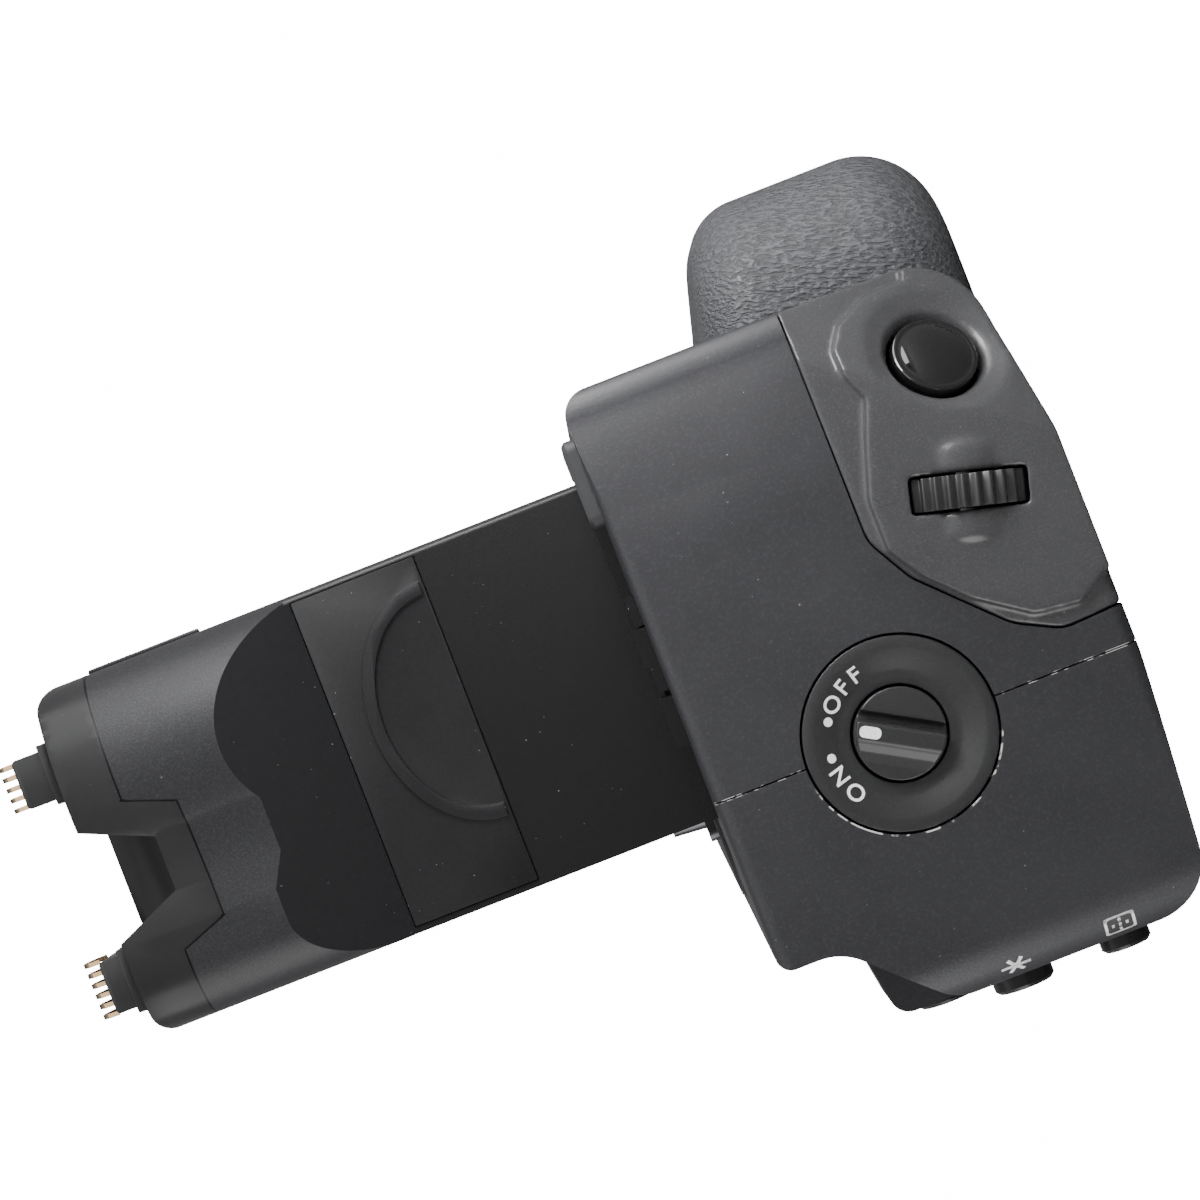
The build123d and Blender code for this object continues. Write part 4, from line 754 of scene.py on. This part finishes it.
def cut_upright(piece, section, half, middle):
    """Cuts an upright prism with this (x, y) section away from a piece."""
    cutter = profiled("corner_cutter", section, half)
    cutter.matrix_world = Matrix((
        (1, 0, 0, 0),
        (0, 0, 1, 0),
        (0, -1, 0, middle * MM),
        (0, 0, 0, 1),
    ))
    count = len(piece.data.polygons)
    modified(piece, "BOOLEAN", operation="DIFFERENCE", object=cutter, solver="EXACT")
    bpy.data.objects.remove(cutter)
    if len(piece.data.polygons) < count / 2:
        raise RuntimeError(f"the corner cut spoiled {piece.name}")
    smooth(piece)


def bar(across, along, thick, place=(0, 0, 0), turn=0.0, cuts=0):
    """A flat bar about its place in the XY plane, in millimetres."""
    only()
    bpy.ops.mesh.primitive_cube_add(size=1)
    piece = bpy.context.object
    piece.matrix_world = (
        Matrix.Translation(Vector(place) * MM)
        @ Matrix.Rotation(radians(turn), 4, "Z")
        @ Matrix.Diagonal((across * MM, along * MM, thick * MM, 1))
    )
    bpy.ops.object.transform_apply(location=True, rotation=True, scale=True)
    if cuts:
        edit(piece)
        bpy.ops.mesh.subdivide(number_cuts=cuts)
        bpy.ops.object.mode_set(mode="OBJECT")
    return piece


# Places
def placed(across, up, normal, centre):
    """Matrix that takes X, Y and Z to three directions at a centre."""
    return Matrix((
        (across.x, up.x, normal.x, centre.x),
        (across.y, up.y, normal.y, centre.y),
        (across.z, up.z, normal.z, centre.z),
        (0, 0, 0, 1),
    ))


def aimed(place, axis):
    """Matrix that turns Z to an axis at a place."""
    return Matrix.Translation(place) @ axis.normalized().to_track_quat("Z", "Y").to_matrix().to_4x4()


def knob_place():
    """Matrix that stands the knob on the dish's floor, its bar along local Y."""
    along = Vector((0, sin(BAR_TURN), cos(BAR_TURN)))
    across = Vector((0, cos(BAR_TURN), -sin(BAR_TURN)))
    out = Vector((1, 0, 0))
    return placed(across, along, out, SWITCH - out * DISH_FLOOR)


def dish_place(angle):
    """Matrix that lays a flat mark on the switch's dish, its top outwards."""
    turn = radians(angle)
    out = Vector((0, sin(turn), cos(turn)))
    across = out.cross(Vector((1, 0, 0)))
    up = out * cos(DISH_TILT) + Vector((sin(DISH_TILT), 0, 0))
    normal = across.cross(up)
    centre = SWITCH + out * PRINT_R - Vector((PRINT_DROP, 0, 0)) + normal * PRINT_LIFT
    return placed(across, up, normal, centre)


def edge_place(centre):
    """Matrix that lays a flat mark on the rounded back edge, its length up the edge."""
    normal = centre - BACK_EDGE
    normal.z = 0
    normal.normalize()
    up = Vector((0, 0, 1))
    return placed(up.cross(normal), up, normal, centre)


class GRIP_OT_stage(bpy.types.Operator):
    """Makes the camera, the floor, the backdrop and the lamps"""

    bl_idname = "grip.stage"
    bl_label = "Stage"

    def execute(self, context):
        self.camera(context.scene)
        self.floor()
        self.backdrop(context.scene)
        for lamp in LAMPS:
            self.lamp(context.scene, *lamp)
        return {"FINISHED"}

    def camera(self, scene):
        camera = bpy.data.cameras.new("camera")
        camera.sensor_width = 36
        camera.lens = CAMERA_LENS
        camera.clip_start = 0.01
        holder = bpy.data.objects.new("camera", camera)
        scene.collection.objects.link(holder)
        holder.matrix_world = placed(CAMERA_ACROSS, CAMERA_UP, CAMERA_OUT, CAMERA_PLACE)
        scene.camera = holder

    def floor(self):
        only()
        bpy.ops.mesh.primitive_plane_add(size=FLOOR_SIZE, location=(0, 0, -FLOOR_DROP))
        floor = bpy.context.object
        floor.name = "floor"
        floor.data.materials.append(floor_paper("floor_paper"))

    def backdrop(self, scene):
        world = bpy.data.worlds.new("studio")
        world.use_nodes = True
        tree = world.node_tree
        ground = tree.nodes["Background"]
        ground.inputs["Color"].default_value = (1, 1, 1, 1)
        path = tree.nodes.new("ShaderNodeLightPath")
        strength = tree.nodes.new("ShaderNodeMapRange")
        strength.inputs["To Min"].default_value = STUDIO_FILL
        strength.inputs["To Max"].default_value = PAPER_GLOW
        tree.links.new(path.outputs["Is Camera Ray"], strength.inputs["Value"])
        tree.links.new(strength.outputs["Result"], ground.inputs["Strength"])
        scene.world = world

    def lamp(self, scene, name, place, size, power, aim):
        light = bpy.data.lights.new(name, "AREA")
        light.size = size
        light.energy = power
        lamp = bpy.data.objects.new(name, light)
        scene.collection.objects.link(lamp)
        lamp.matrix_world = aimed(Vector(place), Vector(place) - Vector(aim))
        lamp.visible_camera = False


class GRIP_OT_finishes(bpy.types.Operator):
    """Gives each solid of the frame its finish"""

    bl_idname = "grip.finishes"
    bl_label = "Finishes"

    def execute(self, context):
        tone, grain = colours(), sizes().grain
        finishes.update({
            "shell": grained_plastic(
                "shell_plastic", tone.shell, grain, 0.03 * MM, 0.46, dust=0.02, lines=True),
            "housing": grained_plastic(
                "housing_plastic", tone.housing, grain * 0.7, 0.012 * MM, 0.30, dust=0.01),
            "rubber": wrinkled_rubber("grip_rubber", tone.rubber, sizes().wrinkle),
            "column": column_plastic("column_plastic", tone.column, grain * 0.7),
            "panel": grained_plastic(
                "panel_plastic", shade(tone.column, 0.45), grain * 0.6, 0.01 * MM, 0.5, dust=0.02,
                specular=0.3),
            "cover": smooth_plastic(
                "cover_plastic", tone.cover, 0.3, dust=0.01, specular=0.2, joint=True),
            "block": smooth_plastic("block_plastic", tone.cover, 0.34),
            "control": grained_plastic(
                "control_plastic", tone.control, grain * 0.5, 0.006 * MM, 0.36),
            "dial": smooth_plastic("dial_plastic", tone.control, 0.34),
            "gloss": lacquer("button_gloss", LACQUER_BLACK),
            "button": smooth_plastic("button_plastic", BUTTON_BLACK, 0.3),
            "gold": brushed_metal("contact_gold", tone.gold, 0.25),
            "wires": wire_gold("wire_gold", tone.gold),
            "steel": brushed_metal("steel", STEEL, 0.3),
            "screw": brushed_metal("screw_black", SCREW_BLACK, 0.35),
            "plate": grained_plastic("plate_paint", PLATE_BLACK, grain, 0.03 * MM, 0.5, dust=0.01),
            "pad": smooth_plastic("pad_rubber", shade(tone.rubber, 0.45), 0.6),
            "inner": smooth_plastic("inner_plastic", INNER_BLACK, 0.5),
            "board": circuit("circuit_board"),
            "white": screen_print("white_print", tone.print_white),
        })
        for finish, names in NODE_FINISHES:
            for name in names:
                nodes[name].data.materials.clear()
                nodes[name].data.materials.append(finishes[finish])
        return {"FINISHED"}


class GRIP_OT_shell_corners(bpy.types.Operator):
    """Rounds the shells' upright corners at the control end"""

    bl_idname = "grip.shell_corners"
    bl_label = "Shell corners"

    def execute(self, context):
        for node, centre, radius, side, crown_y, crown in SHELL_CORNERS:
            piece = copied(node)
            at_x, at_y = centre.x / MM, centre.y / MM
            edge_x = at_x + radius
            section = [(edge_x + CUT_MARGIN, crown_y), (edge_x, crown_y)]
            # The face falls away slowly before it turns the corner
            for step in range(1, CROWN_STEPS + 1):
                share = step / CROWN_STEPS
                section.append((edge_x - crown * share ** 2, crown_y + (at_y - crown_y) * share))
            section += quarter_round(at_x, at_y, radius - crown, side * radius, CORNER_STEPS)
            outer_y = at_y + side * (radius + CUT_MARGIN)
            section += [(at_x, outer_y), (edge_x + CUT_MARGIN, outer_y)]
            cut_upright(piece, section, CORNER_HALF, 0)
            shells[node] = stand_in(piece, node, "shell")
        return {"FINISHED"}


class GRIP_OT_release_corner(bpy.types.Operator):
    """Softens the release housing, and makes the glossy button and the ribbed dial"""

    bl_idname = "grip.release_corner"
    bl_label = "Release corner"

    def execute(self, context):
        softened("release_housing", HOUSING_VOXEL, HOUSING_ROUNDS, "housing")
        button = turned("shutter_button_form", SHUTTER_PROFILE, 160)
        button.matrix_world = aimed(SHUTTER, SHUTTER_AXIS)
        smooth(button, 60)
        stand_in(button, "shutter_button", "gloss")
        bevelled("main_dial", DIAL_BEVEL, 2, 25, "dial")
        return {"FINISHED"}


class GRIP_OT_power_switch(bpy.types.Operator):
    """Makes the power switch's dished ring, its knob and its print"""

    bl_idname = "grip.power_switch"
    bl_label = "Power switch"

    def execute(self, context):
        ring = turned("switch_plate_form", RING_PROFILE, 160, closed=True)
        ring.matrix_world = aimed(SWITCH, Vector((1, 0, 0)))
        smooth(ring, 50)
        stand_in(ring, "switch_plate", "control")
        self.knob()
        self.mark()
        self.letters()
        return {"FINISHED"}

    def knob(self):
        """A disc with a raised bar, a groove on one side of it and a soft slope on the other."""
        knob = turned("power_knob_form", KNOB_PROFILE, 128)
        form = profiled("knob_form", KNOB_SECTION, KNOB_HALF)
        modified(knob, "BOOLEAN", operation="INTERSECT", object=form, solver="EXACT")
        bpy.data.objects.remove(form)
        modified(knob, "REMESH", mode="VOXEL", voxel_size=KNOB_VOXEL, use_smooth_shade=True)
        modified(knob, "SMOOTH", factor=0.5, iterations=3)
        if not knob.data.polygons:
            raise RuntimeError("the knob came out empty")
        knob.matrix_world = knob_place()
        stand_in(knob, "power_knob", "control")

    def mark(self):
        """The white mark on the bar, with round ends."""
        mark = bar(*MARK_SIZE, MARK_PLACE)
        mark.name = "knob_mark"
        edit(mark)
        bpy.ops.mesh.select_mode(type="EDGE")
        bpy.ops.mesh.select_all(action="DESELECT")
        net = bmesh.from_edit_mesh(mark.data)
        for edge in net.edges:
            edge.select_set(abs(edge.verts[0].co.z - edge.verts[1].co.z) > WELD)
        bmesh.update_edit_mesh(mark.data)
        bpy.ops.mesh.bevel(offset=MARK_ROUND, segments=6, affect="EDGES")
        bpy.ops.object.mode_set(mode="OBJECT")
        mark.matrix_world = knob_place()
        settle(mark, "white", "power_switch")

    def letters(self):
        """The words and the dots on the dished ring."""
        size = sizes()
        made = []
        for letter, angle in SWITCH_LETTERS:
            only()
            bpy.ops.object.text_add(location=(0, 0, 0))
            text = bpy.context.object
            text.data.body = letter
            text.data.align_x = "CENTER"
            text.data.align_y = "CENTER"
            text.data.size = size.letter * FONT_SHARE
            text.data.offset = LETTER_BOLD
            text.data.extrude = size.print_thick / 2
            bpy.ops.object.convert(target="MESH")
            text.matrix_world = dish_place(angle)
            bpy.ops.object.transform_apply(location=True, rotation=True, scale=True)
            made.append(text)
        for angle in SWITCH_DOTS:
            only()
            bpy.ops.mesh.primitive_cylinder_add(vertices=32, radius=DOT_R, depth=size.print_thick)
            dot = bpy.context.object
            dot.matrix_world = dish_place(angle)
            bpy.ops.object.transform_apply(location=True, rotation=True, scale=True)
            made.append(dot)
        settle(joined("switch_print", made), "white", "grip")


class GRIP_OT_edge_signs(bpy.types.Operator):
    """Prints the star and the grid sign on the rounded back edge"""

    bl_idname = "grip.edge_signs"
    bl_label = "Edge signs"

    def execute(self, context):
        for sign, place in ((self.star(), STAR_PLACE), (self.grid(), GRID_PLACE)):
            sign.matrix_world = edge_place(place)
            apply_place(sign)
            modified(sign, "SHRINKWRAP", target=shells["back_shell"], wrap_method="NEAREST_SURFACEPOINT",
                     wrap_mode="ABOVE_SURFACE", offset=SIGN_LIFT)
            settle(sign, "white", "grip")
        return {"FINISHED"}

    def star(self):
        strokes = [bar(STAR_STROKE, long, SIGN_THICK, turn=turn, cuts=5) for turn, long in STAR_STROKES]
        return joined("star_sign", strokes)

    def grid(self):
        """A frame with cut corners round a cross of five points."""
        made = []
        for side in (1, -1):
            made.append(bar(GRID_WIDE, GRID_LINE, SIGN_THICK, (0, GRID_HALF_HIGH * side, 0), cuts=5))
        for side in (1, -1):
            made.append(bar(GRID_LINE, GRID_HIGH, SIGN_THICK, (GRID_HALF_WIDE * side, 0, 0), cuts=5))
        for across, along in ((0, 0), (0, 1), (0, -1), (1, 0), (-1, 0)):
            place = (across * GRID_PITCH, along * GRID_PITCH, 0)
            made.append(bar(GRID_POINT, GRID_LINE, SIGN_THICK, place, cuts=3))
        for up in (1, -1):
            for side in (1, -1):
                place = (GRID_CORNER[0] * side, GRID_CORNER[1] * up, 0)
                made.append(bar(GRID_CORNER_LONG, GRID_LINE, SIGN_THICK, place, 45 * side * up, 3))
        return joined("grid_sign", made)


class GRIP_OT_column_details(bpy.types.Operator):
    """Rounds the column's edges and adds its side rail"""

    bl_idname = "grip.column_details"
    bl_label = "Column details"

    def execute(self, context):
        self.long_edge()
        for node, width, segments, finish, slot in COLUMN_BEVELS:
            bevelled(node, width * MM, segments, 40, finish)
        self.rail()
        return {"FINISHED"}

    def long_edge(self):
        body = copied("column_body")
        round_x, round_y = FLAT_X - COLUMN_ROUND, COLUMN_SIDE_Y - COLUMN_ROUND
        outer_x, outer_y = FLAT_X + COLUMN_MARGIN, COLUMN_SIDE_Y + COLUMN_MARGIN
        section = [(outer_x, round_y), (FLAT_X, round_y)]
        section += quarter_round(round_x, round_y, COLUMN_ROUND, COLUMN_ROUND, COLUMN_STEPS)
        section += [(round_x, outer_y), (outer_x, outer_y)]
        cut_upright(body, section, COLUMN_EDGE_HALF, COLUMN_EDGE_MIDDLE)
        stand_in(body, "column_body", "column")

    def rail(self):
        rail = bar(*RAIL_SIZE)
        rail.name = "column_rail"
        edit(rail)
        bpy.ops.mesh.bevel(offset=RAIL_BEVEL, segments=3, affect="EDGES")
        bpy.ops.object.mode_set(mode="OBJECT")
        rail.matrix_world = placed(Vector((1, 0, 0)), Vector((0, 0, 1)), Vector((0, 1, 0)), RAIL_PLACE)
        smooth(rail, 40)
        settle(rail, "column", "grip")


class GRIP_PT_panel(bpy.types.Panel):
    """Lists the grip's settings and its steps"""

    bl_idname = "GRIP_PT_panel"
    bl_label = "Battery grip"
    bl_space_type = "VIEW_3D"
    bl_region_type = "UI"
    bl_category = "Battery grip"

    def draw(self, context):
        for settings in (context.scene.grip_colours, context.scene.grip_sizes):
            for key in settings.bl_rna.properties.keys():
                if key not in ("rna_type", "name"):
                    self.layout.prop(settings, key)
        for operator in STEPS:
            self.layout.operator(operator.bl_idname)


STEPS = (
    GRIP_OT_stage,
    GRIP_OT_finishes,
    GRIP_OT_shell_corners,
    GRIP_OT_release_corner,
    GRIP_OT_power_switch,
    GRIP_OT_edge_signs,
    GRIP_OT_column_details,
)
CLASSES = (GripColours, GripSizes) + STEPS + (GRIP_PT_panel,)


def register():
    for item in CLASSES:
        bpy.utils.register_class(item)
    bpy.types.Scene.grip_colours = bpy.props.PointerProperty(type=GripColours)
    bpy.types.Scene.grip_sizes = bpy.props.PointerProperty(type=GripSizes)


def unregister():
    del bpy.types.Scene.grip_colours
    del bpy.types.Scene.grip_sizes
    for item in reversed(CLASSES):
        bpy.utils.unregister_class(item)


def main():
    register()
    for step in STEPS:
        group, name = step.bl_idname.split(".")
        getattr(getattr(bpy.ops, group), name)()


if __name__ == "__main__":
    main()
